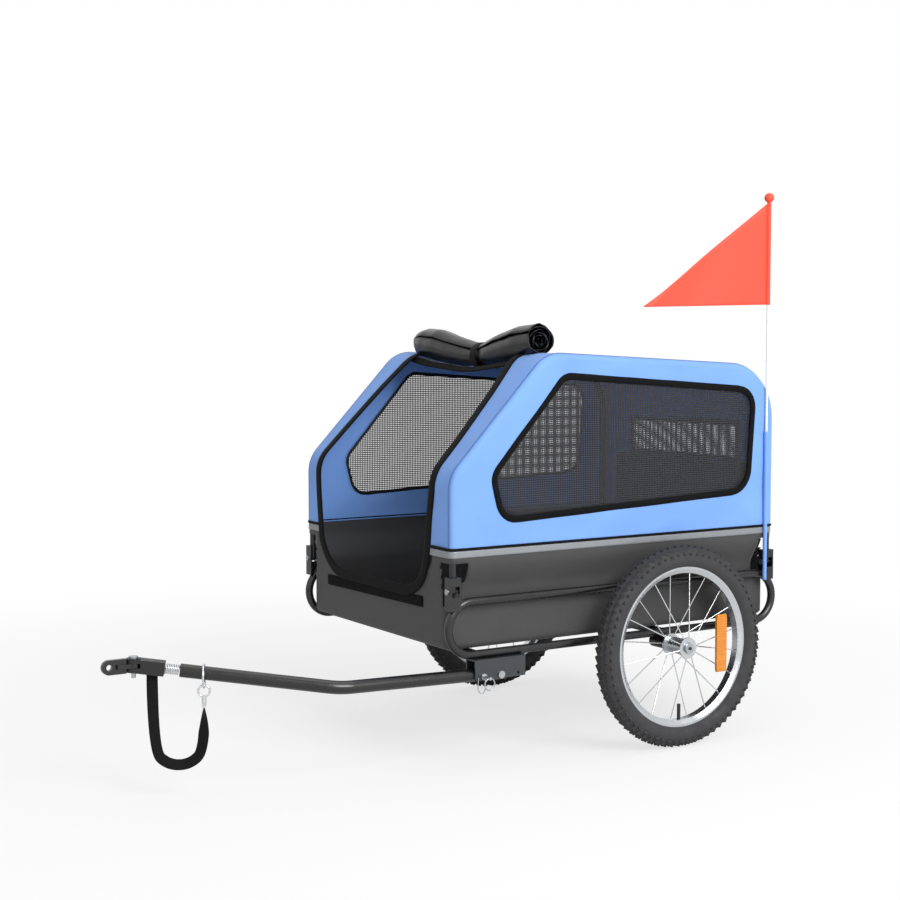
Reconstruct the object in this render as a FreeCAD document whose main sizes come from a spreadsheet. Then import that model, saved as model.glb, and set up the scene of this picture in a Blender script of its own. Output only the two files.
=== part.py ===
import FreeCAD, Part
import math
import os
from types import SimpleNamespace

import Sketcher
from FreeCAD import Placement, Rotation, Vector

# Two-wheeled dog trailer for a bicycle, in millimetres.
# +X points forwards to the bicycle, +Y to the left and +Z up. The ground is z = 0.
# The origin is on the ground, midway between the front and rear ends.

SPOKE_COUNT = 20

# Driving dimensions. Places along X are measured from the wheel axle.
SIZES = {
    # wheels
    "tyre_od": 400,
    "tyre_width": 46,
    "tyre_bed_depth": 5,
    "tyre_bed_width": 24,
    "rim_od": 319,
    "rim_id": 292,
    "rim_width": 26,
    "rim_lip": 2,
    "rim_well": 5,
    "spoke_d": 2.2,
    "hub_flange_d": 42,
    "hub_flange_gap": 51,
    "hub_flange_thick": 3,
    "hub_barrel_d": 32,
    "half_track": 332.4,
    "axle_d": 12,
    "bearing_od": 24,
    "bearing_width": 8,
    "bearing_clearance": 0.03,
    "axle_cap_d": 20,
    "axle_cap_thick": 5,
    "axle_collar_d": 18,
    "button_d": 6.4,
    "button_out": 3,
    "button_travel": 3,
    "reflector_length": 115,
    "reflector_width": 26,
    "reflector_thick": 7,
    "reflector_back": 92,
    "valve_d": 7,
    "valve_length": 30,
    # lower frame
    "tube_d": 16,
    "tube_wall": 1.5,
    "loop_y": 279,
    "loop_front": 504.6,
    "loop_rear": 294.6,
    "loop_rise": 99.5,
    "vent_d": 3,
    "receiver_d": 25,
    "receiver_length": 44,
    "receiver_out": 19,
    "slide_clearance": 0.1,
    "cross_front": 445,
    "cross_rear": 235,
    # side arches and their corner hinges
    "arch_d": 13,
    "arch_wall": 1.5,
    "arch_front": 495,
    "arch_rear": 278,
    "arch_knee": 550,
    "arch_peak_x": 285,
    "arch_peak_z": 770,
    "arch_tail_z": 742,
    "knee_radius": 60,
    "peak_radius": 70,
    "tail_radius": 105,
    "hinge_z": 342,
    "hinge_bolt_d": 6,
    "hinge_clearance": 0.1,
    "bolt_head_d": 11,
    "bolt_head_thick": 3.5,
    "bracket_width": 22,
    "bracket_plate": 3,
    "bracket_foot": 306,
    "bracket_top": 368,
    "bracket_window": 20,
    # cloth body
    "cloth": 2.5,
    "cloth_gap": 0.5,
    "tub_top": 332,
    "tub_half_width": 267,
    "tub_front": 500,
    "tub_rear": 285,
    "tub_corner": 14,
    "board_thick": 6,
    "board_inset": 13,
    "panel_foot": 333,
    "notch_top": 388,
    "notch_width": 19,
    "window_binding": 12,
    "opening_half_width": 228,
    "roof_front": 292,
    "roof_sag_front": 34,
    "roof_sag_rear": 10,
    "rear_window_half": 180,
    "rear_window_foot": 548,
    "rear_window_top": 628,
    "net_cell": 24,
    "net_strand": 2,
    "net_thick": 0.8,
    # rolled front cover
    "roll_x": 262,
    "roll_clearance": 0.9,
    # flag
    "pole_d": 5,
    "pole_x": 262,
    "pole_foot": 320,
    "pole_top": 1094,
    "sleeve_wall": 1.5,
    "sleeve_foot": 305,
    "sleeve_top": 615,
    "ball_d": 20,
    "pennant_foot": 876,
    "pennant_top": 1083,
    "pennant_length": 328,
    "pennant_thick": 1.2,
    "hoist_d": 9,
    # tow bracket
    "tow_plate": 3,
    "tow_gap": 26,
    "tow_rear": 344,
    "tow_front": 456,
    "tow_foot": 174,
    "pivot_x": 399,
    "pivot_z": 181,
    "pivot_bolt_d": 8,
    "pivot_clearance": 0.1,
    "lock_reach": 39,
    "lock_pin_d": 6,
    "lock_pin_out": 24,
    "lock_ring_d": 22,
    "lock_ring_wire": 2.4,
    # tow arm and coupler
    "arm_d": 24,
    "arm_wall": 2,
    "arm_tail": 18,
    "arm_bend_x": 729,
    "arm_bend_z": 190,
    "arm_bend_radius": 90,
    "arm_plug": 6,
    "hitch_pin_x": 1049,
    "hitch_pin_y": 116.6,
    "hitch_pin_z": 238,
    "hitch_pin_d": 8,
    "hitch_clearance": 0.1,
    "coupler_length": 54,
    "coupler_width": 26,
    "coupler_height": 24,
    "coupler_slot": 8,
    "slot_clearance": 0.2,
    "spring_length": 27,
    "spring_d": 19,
    "spring_wire": 2.4,
    "spring_gap": 0.3,
    "fork_reach": 45,
    "fork_end_d": 26,
    "fork_plate": 8,
    "fork_bar": 20,
    "axle_hole_d": 10.5,
    # safety strap
    "ring_d": 40,
    "ring_wire": 4,
    "ring_back": 41,
    "hook_d": 20,
    "hook_wire": 4,
    "strap_width": 20,
    "strap_thick": 1.5,
    # small play between fixed pieces
    "seat_gap": 0.3,
}

SPRING_TURNS = 8
LANYARD_D = 1.8
# Side of a cutting block that only has to reach past the cloth
CUT = 200

doc = FreeCAD.newDocument("dog_trailer")
sheet = doc.addObject("Spreadsheet::Sheet", "Sizes")
for row, (alias, number) in enumerate(SIZES.items(), 1):
    sheet.set(f"A{row}", alias)
    sheet.set(f"B{row}", str(number))
    sheet.setAlias(f"B{row}", alias)
doc.recompute()


class Size:
    """A cell of the sheet, or a sum of cells: its number and its expression."""

    def __init__(self, value, text):
        self.value = float(value)
        self.text = text

    def __float__(self):
        return self.value

    def __add__(self, other):
        return Size(self.value + float(other), f"({self.text} + {wording(other)})")

    __radd__ = __add__

    def __sub__(self, other):
        return Size(self.value - float(other), f"({self.text} - {wording(other)})")

    def __rsub__(self, other):
        return Size(float(other) - self.value, f"({wording(other)} - {self.text})")

    def __mul__(self, other):
        return Size(self.value * float(other), f"({self.text} * {wording(other)})")

    __rmul__ = __mul__

    def __truediv__(self, other):
        return Size(self.value / float(other), f"({self.text} / {wording(other)})")

    def __neg__(self):
        return Size(-self.value, f"(0 - {self.text})")


def wording(value):
    return value.text if isinstance(value, Size) else repr(float(value))


S = SimpleNamespace(**{alias: Size(sheet.get(alias), f"Sizes.{alias}") for alias in SIZES})

UP = Vector(0, 0, 1)
TURN = {
    "X": Rotation(Vector(0, 1, 0), 90),
    "Y": Rotation(Vector(1, 0, 0), -90),
    "Z": Rotation(),
}
NODES = {}

# Places that many pieces share
nose = S.hitch_pin_x + S.fork_reach + S.fork_end_d / 2
tail = S.loop_rear + S.tube_d / 2
axle_x = (tail - nose) / 2
axle_z = S.tyre_od / 2
loop_low = axle_z + S.receiver_d / 2 + S.tube_d / 2
loop_high = loop_low + S.loop_rise
hub_half = (S.hub_flange_gap + S.hub_flange_thick) / 2
receiver_face = S.loop_y + S.receiver_out
panel_in = S.loop_y + S.arch_d / 2 + S.cloth_gap
panel_out = panel_in + S.cloth
skin_in = S.arch_d / 2 + S.cloth_gap
skin_out = skin_in + S.cloth
tub_foot = loop_low + S.tube_d / 2 + S.seat_gap


# Helpers for objects of the document
def bind(obj, **sizes):
    for name, value in sizes.items():
        setattr(obj, name, float(value))
        if isinstance(value, Size):
            obj.setExpression(name, value.text)
    return obj


def put(obj, x, y, z, turn=Rotation()):
    obj.Placement = Placement(Vector(float(x), float(y), float(z)), turn)
    for letter, value in zip("xyz", (x, y, z)):
        if isinstance(value, Size):
            obj.setExpression(f"Placement.Base.{letter}", value.text)
    return obj


def rod(radius, length, x, y, z, along="Z"):
    obj = doc.addObject("Part::Cylinder", "rod")
    bind(obj, Radius=radius, Height=length)
    return put(obj, x, y, z, TURN[along])


def block(length, width, height, x, y, z):
    obj = doc.addObject("Part::Box", "block")
    bind(obj, Length=length, Width=width, Height=height)
    return put(obj, x, y, z)


def ball(radius, x, y, z):
    obj = doc.addObject("Part::Sphere", "ball")
    bind(obj, Radius=radius)
    return put(obj, x, y, z)


def torus(radius, wire, x, y, z, turn=Rotation(), sweep=360):
    obj = doc.addObject("Part::Torus", "torus")
    bind(obj, Radius1=radius, Radius2=wire)
    obj.Angle3 = sweep
    return put(obj, x, y, z, turn)


def cut(base, *tools):
    for tool in tools:
        result = doc.addObject("Part::Cut", "cut")
        result.Base = base
        result.Tool = tool
        base = result
    return base


def fuse(*pieces):
    obj = doc.addObject("Part::MultiFuse", "fuse")
    obj.Shapes = list(pieces)
    obj.Refine = True
    return obj


def together(pieces):
    obj = doc.addObject("Part::Compound", "group")
    obj.Links = list(pieces)
    return obj


def solid(shape):
    obj = doc.addObject("Part::Feature", "solid")
    obj.Shape = shape
    return obj


def node(label, obj):
    obj.Label = label
    NODES[label] = obj
    return obj


def sketch_polygon(body, points):
    """Closed outline on the body's XY plane, each corner tied to the sheet."""
    plane = [f for f in body.Origin.OriginFeatures if f.Role == "XY_Plane"][0]
    sketch = body.newObject("Sketcher::SketchObject", "outline")
    sketch.AttachmentSupport = [(plane, "")]
    sketch.MapMode = "FlatFace"
    corners = [Vector(float(a), float(b), 0) for a, b in points]
    count = len(corners)
    for i in range(count):
        sketch.addGeometry(Part.LineSegment(corners[i], corners[(i + 1) % count]), False)
    for i in range(count):
        sketch.addConstraint(Sketcher.Constraint("Coincident", i, 2, (i + 1) % count, 1))
    for i, pair in enumerate(points):
        for kind, value in zip(("DistanceX", "DistanceY"), pair):
            index = sketch.addConstraint(Sketcher.Constraint(kind, -1, 1, i, 1, float(value)))
            if isinstance(value, Size):
                sketch.setExpression(f"Constraints[{index}]", value.text)
    return sketch


def turned(points):
    """Body of revolution about its Y axis: each point is a radius and a place along Y."""
    body = doc.addObject("PartDesign::Body", "turned")
    sketch = sketch_polygon(body, points)
    feature = body.newObject("PartDesign::Revolution", "revolution")
    feature.Profile = sketch
    feature.ReferenceAxis = (sketch, ["V_Axis"])
    feature.Angle = 360
    return body


# Helpers for bent shapes
def rounded(points, radii):
    """Wire of straight runs joined by tangent arcs, one radius for each inner point."""
    edges = []
    start = points[0]
    for before, corner, after, radius in zip(points, points[1:], points[2:], radii):
        back = (before - corner).normalize()
        on = (after - corner).normalize()
        half = math.acos(max(-1, min(1, back.dot(on)))) / 2
        reach = float(radius) / math.tan(half)
        first = corner + back * reach
        last = corner + on * reach
        middle = corner + (back + on).normalize() * (float(radius) / math.sin(half) - float(radius))
        if (first - start).Length > 1e-6:
            edges.append(Part.LineSegment(start, first).toShape())
        edges.append(Part.Arc(first, middle, last).toShape())
        start = last
    edges.append(Part.LineSegment(start, points[-1]).toShape())
    return Part.Wire(edges)


def pipe(wire, radius):
    edge = wire.Edges[0]
    begin = edge.valueAt(edge.FirstParameter)
    along = edge.tangentAt(edge.FirstParameter)
    circle = Part.Wire(Part.makeCircle(float(radius), begin, along))
    return wire.makePipeShell([circle], True, False)


def offset_path(points, distance):
    """The same polyline in the XZ plane, moved outwards, which is right of its direction."""
    distance = float(distance)
    runs = []
    for a, b in zip(points, points[1:]):
        along = (b - a).normalize()
        out = Vector(along.z, 0, -along.x) * distance
        runs.append((a + out, b + out, along))
    moved = [runs[0][0]]
    for (a, b, p), (c, d, q) in zip(runs, runs[1:]):
        across = p.x * q.z - p.z * q.x
        share = ((c.x - a.x) * q.z - (c.z - a.z) * q.x) / across
        moved.append(a + p * share)
    moved.append(runs[-1][1])
    return moved


def strip(points, radii, inner, outer, width):
    """Band of cloth that follows a path in the XZ plane, across the whole width."""
    near = rounded(offset_path(points, inner), [float(r) + float(inner) for r in radii])
    far = rounded(offset_path(points, outer), [float(r) + float(outer) for r in radii])
    ends = [
        Part.LineSegment(near.OrderedVertexes[i].Point, far.OrderedVertexes[i].Point).toShape()
        for i in (0, -1)
    ]
    outline = Part.Wire(Part.__sortEdges__(near.Edges + far.Edges + ends))
    band = Part.Face(outline).extrude(Vector(0, 2 * float(width), 0))
    band.translate(Vector(0, -float(width), 0))
    return band


def polygon_rounded(points, radii):
    """Closed outline in the XZ plane with rounded corners."""
    start = (points[-1] + points[0]) * 0.5
    return rounded([start] + points + [start], radii)


def slab(face, thick, y, side):
    """Flat cloth outside y, on the left for side 1 and on the right for side -1."""
    plate = face.extrude(Vector(0, side * float(thick), 0))
    plate.translate(Vector(float(axle_x), side * float(y), 0))
    return plate


def at(x, z):
    return Vector(float(x), 0, float(z))


# Wheels
def wheel(side, sign):
    y = sign * S.half_track
    turn = Rotation(UP, 0 if sign > 0 else 180)

    def seat(label, obj):
        node(f"{side}_{label}", put(obj, axle_x, y, axle_z, turn))

    section = S.tyre_width / 2
    ring_radius = S.tyre_od / 2 - section
    bead = S.rim_od / 2 + S.seat_gap
    seat("tyre", cut(
        torus(ring_radius, section, 0, 0, 0, TURN["Y"]),
        rod(bead, S.tyre_width, 0, -section, 0, "Y"),
        rod(bead + S.tyre_bed_depth, S.tyre_bed_width, 0, -S.tyre_bed_width / 2, 0, "Y"),
    ))

    half = S.rim_width / 2
    outer = S.rim_od / 2
    inner = S.rim_id / 2
    floor = outer - S.rim_well
    seat("rim", turned([
        (inner, S.rim_well - half), (floor, -half), (outer, -half), (outer, S.rim_lip - half),
        (floor, 2 * S.rim_lip - half), (floor, half - 2 * S.rim_lip), (outer, half - S.rim_lip),
        (outer, half), (floor, half), (inner, half - S.rim_well),
    ]))

    flange = S.hub_flange_d / 2
    barrel = S.hub_barrel_d / 2
    bore = S.axle_d / 2 + S.hub_flange_thick
    cup = S.bearing_od / 2
    neck = hub_half - S.hub_flange_thick
    depth = hub_half - S.bearing_width
    seat("hub", turned([
        (cup, -hub_half), (flange, -hub_half), (flange, -neck), (barrel, -neck), (barrel, neck),
        (flange, neck), (flange, hub_half), (cup, hub_half), (cup, depth), (bore, depth),
        (bore, -depth), (cup, -depth),
    ]))

    inside = S.axle_d / 2 + S.bearing_clearance
    seat("hub_bearings", together([
        cut(rod(cup, S.bearing_width, 0, place, 0, "Y"), rod(inside, S.bearing_width, 0, place, 0, "Y"))
        for place in (depth, -hub_half)
    ]))

    seat("spokes", together([spoke(i) for i in range(SPOKE_COUNT)]))

    shaft = S.axle_d / 2
    end = receiver_face - S.receiver_length - S.axle_cap_thick - S.half_track
    collar_in = receiver_face + S.seat_gap - S.half_track
    collar_out = -(hub_half + S.seat_gap)
    cap_in = hub_half + S.seat_gap
    cap_out = cap_in + S.axle_cap_thick
    well = S.button_d / 2 + S.slide_clearance
    well_foot = cap_out - S.axle_cap_thick - S.button_travel - S.button_out
    collar = S.axle_collar_d / 2
    cap = S.axle_cap_d / 2
    seat("axle", turned([
        (0, end), (shaft, end), (shaft, collar_in), (collar, collar_in), (collar, collar_out),
        (shaft, collar_out), (shaft, cap_in), (cap, cap_in), (cap, cap_out), (well, cap_out),
        (well, well_foot), (0, well_foot),
    ]))

    stem = S.button_d / 2
    stem_foot = well_foot + S.button_travel + S.seat_gap
    head = cap_out + S.button_out
    seat("release_button", turned([
        (0, stem_foot), (stem, stem_foot), (stem, head - 1), (stem - 1, head), (0, head),
    ]))

    reflector_inner = S.reflector_back - S.reflector_width / 2
    share = (reflector_inner - flange) / (inner - flange)
    spoke_out = (1 - share) * S.hub_flange_gap / 2 + share * S.rim_lip + S.spoke_d / 2
    seat("reflector", together([block(
        S.reflector_width, S.reflector_thick, S.reflector_length,
        -(reflector_inner + S.reflector_width), spoke_out + S.seat_gap, -S.reflector_length / 2,
    )]))
    seat("valve", together([rod(
        S.valve_d / 2, S.valve_length, 0, 0, -(inner - S.seat_gap / 3),
    )]))


def spoke(i):
    """Straight spoke from a hub flange to the rim, on the two flanges in turn."""
    angle = 2 * math.pi * (i + 0.5) / SPOKE_COUNT
    lean = 1 if i % 2 else -1
    out = Vector(math.cos(angle), 0, math.sin(angle))
    start = out * float(S.hub_flange_d / 2 + S.seat_gap / 3)
    start += Vector(0, lean * float(S.hub_flange_gap / 2), 0)
    stop = out * float(S.rim_id / 2 - S.seat_gap / 3) + Vector(0, lean * float(S.rim_lip), 0)
    obj = doc.addObject("Part::Cylinder", "spoke")
    bind(obj, Radius=S.spoke_d / 2, Height=(stop - start).Length - float(S.spoke_d) / 4)
    obj.Placement = Placement(start, Rotation(UP, stop - start))
    return obj


# Lower frame
def stadium(y, radius):
    """Closed loop of bar: two straight runs and two half turns."""
    bend = S.loop_rise / 2
    front = axle_x + S.loop_front - bend
    rear = axle_x - S.loop_rear + bend
    middle = loop_low + bend
    ahead = Rotation(Vector(1, 0, 0), 90) * Rotation(UP, -90)
    behind = Rotation(Vector(1, 0, 0), 90) * Rotation(UP, 90)
    return fuse(
        rod(radius, front - rear, rear, y, loop_low, "X"),
        rod(radius, front - rear, rear, y, loop_high, "X"),
        torus(bend, radius, front, y, middle, ahead, 180),
        torus(bend, radius, rear, y, middle, behind, 180),
    )


def side_loop(side, sign):
    y = sign * S.loop_y
    bore = S.tube_d / 2 - S.tube_wall
    vent = rod(S.vent_d / 2, S.tube_d, axle_x - S.loop_rear / 2, y, loop_low)
    node(f"{side}_side_loop", cut(stadium(y, S.tube_d / 2), stadium(y, bore), vent))


def cross_tubes():
    reach = 2 * S.loop_y
    tubes = []
    for x in (S.cross_front, Size(0, "0"), -S.cross_rear):
        tube = cut(
            rod(S.tube_d / 2, reach, axle_x + x, -S.loop_y, loop_low, "Y"),
            rod(S.tube_d / 2 - S.tube_wall, reach, axle_x + x, -S.loop_y, loop_low, "Y"),
        )
        for sign in (1, -1):
            saddle = rod(
                S.tube_d / 2, 2 * S.tube_d, axle_x + x - S.tube_d, sign * S.loop_y, loop_low, "X"
            )
            tube = cut(tube, saddle)
        tubes.append(tube)
    node("cross_tubes", together(tubes))


def axle_receiver(side, sign):
    inner = sign * (receiver_face - S.receiver_length)
    low = inner if sign > 0 else -receiver_face
    bore = S.axle_d / 2 + S.slide_clearance
    node(f"{side}_axle_receiver", cut(
        rod(S.receiver_d / 2, S.receiver_length, axle_x, low, axle_z, "Y"),
        rod(bore, S.receiver_length, axle_x, low, axle_z, "Y"),
    ))


CORNERS = [(S.arch_front, 1), (-S.arch_rear, 1), (S.arch_front, -1), (-S.arch_rear, -1)]


def corner_bracket(x, sign):
    """Channel that stands over the loop's bend, open to the inside of the trailer."""
    half = S.bracket_width / 2
    plate = S.bracket_plate
    outer = S.loop_y + S.tube_d / 2 + plate
    inner = outer - S.bracket_width
    height = S.bracket_top - S.bracket_foot
    low = inner if sign > 0 else -outer
    hollow_low = inner if sign > 0 else plate - outer
    left = axle_x + x - half
    shell = cut(
        block(S.bracket_width, S.bracket_width, height, left, low, S.bracket_foot),
        block(
            S.bracket_width - 2 * plate, S.bracket_width - plate, height,
            left + plate, hollow_low, S.bracket_foot,
        ),
        block(
            S.bracket_width - 2 * plate, S.bracket_width, S.bracket_window,
            left + plate, low, S.hinge_z - S.bracket_window / 2,
        ),
        rod(
            S.hinge_bolt_d / 2, S.bracket_width, left, sign * S.loop_y, S.hinge_z, "X",
        ),
    )
    return cut(shell, loop_groove(x, sign))


def loop_groove(x, sign):
    """Curved slot in a bracket's side plates, where the loop's bend passes."""
    bend = S.loop_rise / 2
    reach = S.tube_d / 2 + S.seat_gap / 2
    middle = axle_x + (S.loop_front - bend if x.value > 0 else bend - S.loop_rear)
    face = S.loop_y + S.tube_d / 2
    low = face - S.bracket_width if sign > 0 else -face
    return cut(
        rod(bend + reach, S.bracket_width, middle, low, loop_low + bend, "Y"),
        rod(bend - reach, S.bracket_width, middle, low, loop_low + bend, "Y"),
    )


def hinge_bolt(x, sign):
    half = S.bracket_width / 2
    y = sign * S.loop_y
    left = axle_x + x - half
    head = S.bolt_head_thick
    return fuse(
        rod(S.hinge_bolt_d / 2, S.bracket_width + 2 * head, left - head, y, S.hinge_z, "X"),
        rod(S.bolt_head_d / 2, head, left - head, y, S.hinge_z, "X"),
        rod(S.bolt_head_d / 2, head, left + S.bracket_width, y, S.hinge_z, "X"),
    )


# Side arches: one bent tube on each side, hinged at both feet
ARCH = [
    at(S.arch_front, S.hinge_z),
    at(S.arch_front, S.arch_knee),
    at(S.arch_peak_x, S.arch_peak_z),
    at(-S.arch_rear, S.arch_tail_z),
    at(-S.arch_rear, S.hinge_z),
]
ARCH_RADII = [S.knee_radius, S.peak_radius, S.tail_radius]


def arch(side, sign):
    radius = float(S.arch_d / 2)
    lift = Vector(0, 0, 2 * radius)
    hollow = [ARCH[0] + lift] + ARCH[1:-1] + [ARCH[-1] + lift]
    bore = pipe(rounded(hollow, ARCH_RADII), S.arch_d / 2 - S.arch_wall)
    shape = pipe(rounded(ARCH, ARCH_RADII), radius)
    feet = [Part.makeSphere(radius, foot) for foot in (ARCH[0], ARCH[-1])]
    eye = float(S.hinge_bolt_d / 2 + S.hinge_clearance)
    along = Vector(1, 0, 0)
    eyes = [
        Part.makeCylinder(eye, 4 * radius, foot - along * 2 * radius, along)
        for foot in (ARCH[0], ARCH[-1])
    ]
    obj = solid(shape.fuse(feet).cut([bore] + eyes).removeSplitter())
    node(f"{side}_arch", put(obj, axle_x, sign * S.loop_y, 0))


# Cloth body
def tub():
    wall = S.cloth
    length = S.tub_front + S.tub_rear
    width = 2 * S.tub_half_width
    height = S.tub_top - tub_foot
    outer = block(length, width, height, axle_x - S.tub_rear, -S.tub_half_width, tub_foot)
    inner = block(
        length - 2 * wall, width - 2 * wall, height,
        axle_x - S.tub_rear + wall, wall - S.tub_half_width, tub_foot + wall,
    )
    node("tub", cut(round_foot(outer, S.tub_corner), round_foot(inner, S.tub_corner - wall)))


def round_foot(box, radius):
    """Rounds the upright edges and the foot of a block."""
    box.recompute()
    foot = box.Shape.BoundBox.ZMin
    head = box.Shape.BoundBox.ZMax
    obj = doc.addObject("Part::Fillet", "round_foot")
    obj.Base = box
    obj.Edges = [
        (i, float(radius), float(radius))
        for i, edge in enumerate(box.Shape.Edges, 1)
        if min(v.Z for v in edge.Vertexes) < head - 1e-6
        and min(v.Z for v in edge.Vertexes) < foot + 1e-6
    ]
    return obj


def floor_board():
    inset = S.cloth + S.board_inset
    node("floor_board", block(
        S.tub_front + S.tub_rear - 2 * inset, 2 * (S.tub_half_width - inset), S.board_thick,
        axle_x - S.tub_rear + inset, inset - S.tub_half_width, tub_foot + S.cloth,
    ))


# Corners of a side window's binding, from the front foot round to the front knee
WINDOW = [at(396, 461), at(-222, 489), at(-238, 707), at(252, 741), at(420, 553)]
WINDOW_RADII = [45, 55, 45, 40, 40]


def window_wire(inset):
    """The window's outline, moved inwards by the inset."""
    centre = sum(WINDOW, Vector()) * (1 / len(WINDOW))
    inset = float(inset)
    corners = []
    for before, corner, after in zip(WINDOW[-1:] + WINDOW, WINDOW, WINDOW[1:] + WINDOW[:1]):
        back = (before - corner).normalize()
        on = (after - corner).normalize()
        half = math.acos(back.dot(on)) / 2
        corners.append(corner + (back + on).normalize() * (inset / math.sin(half)))
    radii = [max(r - inset, r / 4) for r in WINDOW_RADII]
    assert Part.Face(polygon_rounded(corners, radii)).isInside(centre, 1e-3, True)
    return polygon_rounded(corners, radii)


def side_panel(side, sign):
    edge = rounded(offset_path(ARCH, skin_out), [float(r + skin_out) for r in ARCH_RADII])
    first = edge.OrderedVertexes[0].Point
    last = edge.OrderedVertexes[-1].Point
    notch = float(S.notch_width)
    foot = float(S.panel_foot)
    front = float(S.arch_front) - notch
    rear = notch - float(S.arch_rear)
    top = float(S.notch_top)
    corners = [last, at(last.x, foot), at(first.x, foot), first]
    hem = [Part.LineSegment(a, b).toShape() for a, b in zip(corners, corners[1:])]
    face = Part.Face(Part.Wire(Part.__sortEdges__(edge.Edges + hem)))
    notches = [
        Part.makePlane(CUT, CUT, at(front, top - CUT), Vector(0, -1, 0), Vector(1, 0, 0)),
        Part.makePlane(CUT, CUT, at(rear - CUT, top - CUT), Vector(0, -1, 0), Vector(1, 0, 0)),
    ]
    face = face.cut(notches + [Part.Face(window_wire(S.window_binding))]).Faces[0]
    node(f"{side}_side_panel", solid(slab(face, S.cloth, panel_in, sign)))


def net_face(wire, border):
    """Flat net: one face with a square hole in each cell that lies inside the border."""
    field = Part.Face(border)
    box = border.BoundBox
    cell = float(S.net_cell)
    hole = cell - float(S.net_strand)
    holes = []
    for i in range(int(box.XLength // cell) + 1):
        for k in range(int(box.ZLength // cell) + 1):
            corner = at(box.XMin + i * cell, box.ZMin + k * cell)
            ring = [corner, corner + at(hole, 0), corner + at(hole, hole), corner + at(0, hole)]
            if all(field.isInside(p, 1e-4, False) for p in ring):
                holes.append(Part.makePolygon(ring + ring[:1]))
    return Part.makeFace([wire] + holes, "Part::FaceMakerBullseye")


def side_window_mesh(side, sign):
    overlap = S.window_binding / 2
    face = net_face(window_wire(overlap), window_wire(S.window_binding))
    node(f"{side}_window_mesh", solid(slab(face, S.net_thick, panel_in - S.net_thick, sign)))


def rear_window(inset):
    half = float(S.rear_window_half - inset)
    foot = float(S.rear_window_foot + inset)
    top = float(S.rear_window_top - inset)
    corners = [at(-half, foot), at(half, foot), at(half, top), at(-half, top)]
    return polygon_rounded(corners, [15] * 4)


def rear_panel():
    corner = [ARCH[2], ARCH[3], at(-S.arch_rear, S.panel_foot)]
    along = (corner[0] - corner[1]).normalize()
    corner[0] = corner[1] + along * tail_reach()
    band = strip(corner, [S.tail_radius], skin_in, skin_out, panel_in - S.seat_gap)
    deep = float(S.tail_radius)
    hole = Part.Face(rear_window(0)).extrude(Vector(0, deep, 0))
    hole.Placement = Placement(at(-float(S.arch_rear) - deep / 2, 0), Rotation(UP, -90))
    band = band.cut([hole] + corner_notches(-float(S.arch_rear)))
    obj = solid(band)
    node("rear_panel", put(obj, axle_x, 0, 0))


def tail_reach():
    """How far ahead of the arch's rear corner its bend starts."""
    roof = (ARCH[2] - ARCH[3]).normalize()
    post = (ARCH[4] - ARCH[3]).normalize()
    half = math.acos(roof.dot(post)) / 2
    return float(S.tail_radius) / math.tan(half) + float(S.cloth)


def corner_notches(x):
    """Blocks that clear the corner brackets at one end of the trailer."""
    width = float(S.bracket_width + S.cloth)
    deep = float(2 * S.bracket_width)
    side = float(S.loop_y + S.tube_d / 2 + S.bracket_plate) - width
    height = float(S.notch_top - S.panel_foot) + 1
    return [
        Part.makeBox(deep, 2 * width, height, Vector(x - deep / 2, y, float(S.panel_foot) - 1))
        for y in (side, -side - 2 * width)
    ]


def rear_window_mesh():
    overlap = -S.window_binding / 2
    face = net_face(rear_window(overlap), rear_window(0))
    plate = face.extrude(Vector(0, float(S.net_thick), 0))
    obj = solid(plate)
    inside = axle_x - S.arch_rear - skin_in
    node("rear_window_mesh", put(obj, inside, 0, 0, Rotation(UP, -90)))


def front_panel():
    """The two pillars beside the doorway, which wrap round the arches' front tops."""
    run = (ARCH[3] - ARCH[2]).normalize()
    path = [at(S.arch_front, S.panel_foot), ARCH[1], ARCH[2], ARCH[2] + run * pillar_reach()]
    band = strip(path, [S.knee_radius, S.peak_radius], skin_in, skin_out, panel_in - S.seat_gap)
    half = float(S.opening_half_width)
    doorway = Part.makeBox(5 * CUT, 2 * half, 5 * CUT, Vector(0, -half, 0))
    band = band.cut([doorway] + corner_notches(float(S.arch_front)))
    node("front_panel", put(solid(band), axle_x, 0, 0))


def pillar_reach():
    slope = (ARCH[1] - ARCH[2]).normalize()
    roof = (ARCH[3] - ARCH[2]).normalize()
    half = math.acos(slope.dot(roof)) / 2
    return float(S.peak_radius) / math.tan(half) + float(S.cloth)


def roof_line(x):
    """Height of the arch's roof run at x."""
    rise = (S.arch_peak_z - S.arch_tail_z) / (S.arch_peak_x + S.arch_rear)
    return float(S.arch_tail_z) + float(rise) * (x + float(S.arch_rear))


def roof_rear():
    return tail_reach() - float(S.arch_rear) + float(S.seat_gap)


def roof_sag(x):
    front = float(S.roof_front)
    share = (x - roof_rear()) / (front - roof_rear())
    return float(S.roof_sag_rear) + float(S.roof_sag_front - S.roof_sag_rear) * share ** 2


def roof_half_flat():
    return float(S.loop_y - S.arch_d)


def roof_panel():
    """Cloth from arch to arch, which sags most at its loose front edge."""
    front = float(S.roof_front)
    rear = roof_rear()
    wide = float(panel_in - S.seat_gap)
    flat = roof_half_flat()
    wires = []
    for share in (0, 0.25, 0.5, 0.75, 1):
        x = rear + (front - rear) * share
        wires.append(roof_section(x, wide, flat))
    shape = Part.makeLoft(wires, True)
    inner = float(S.opening_half_width) - float(S.seat_gap)
    x = float(S.arch_peak_x) - pillar_reach() - float(S.seat_gap)
    for y in (inner, -inner - CUT):
        shape = shape.cut(Part.makeBox(CUT, CUT, CUT, Vector(x, y, roof_line(x) - CUT / 2)))
    node("roof_panel", put(solid(shape), axle_x, 0, 0))


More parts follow.
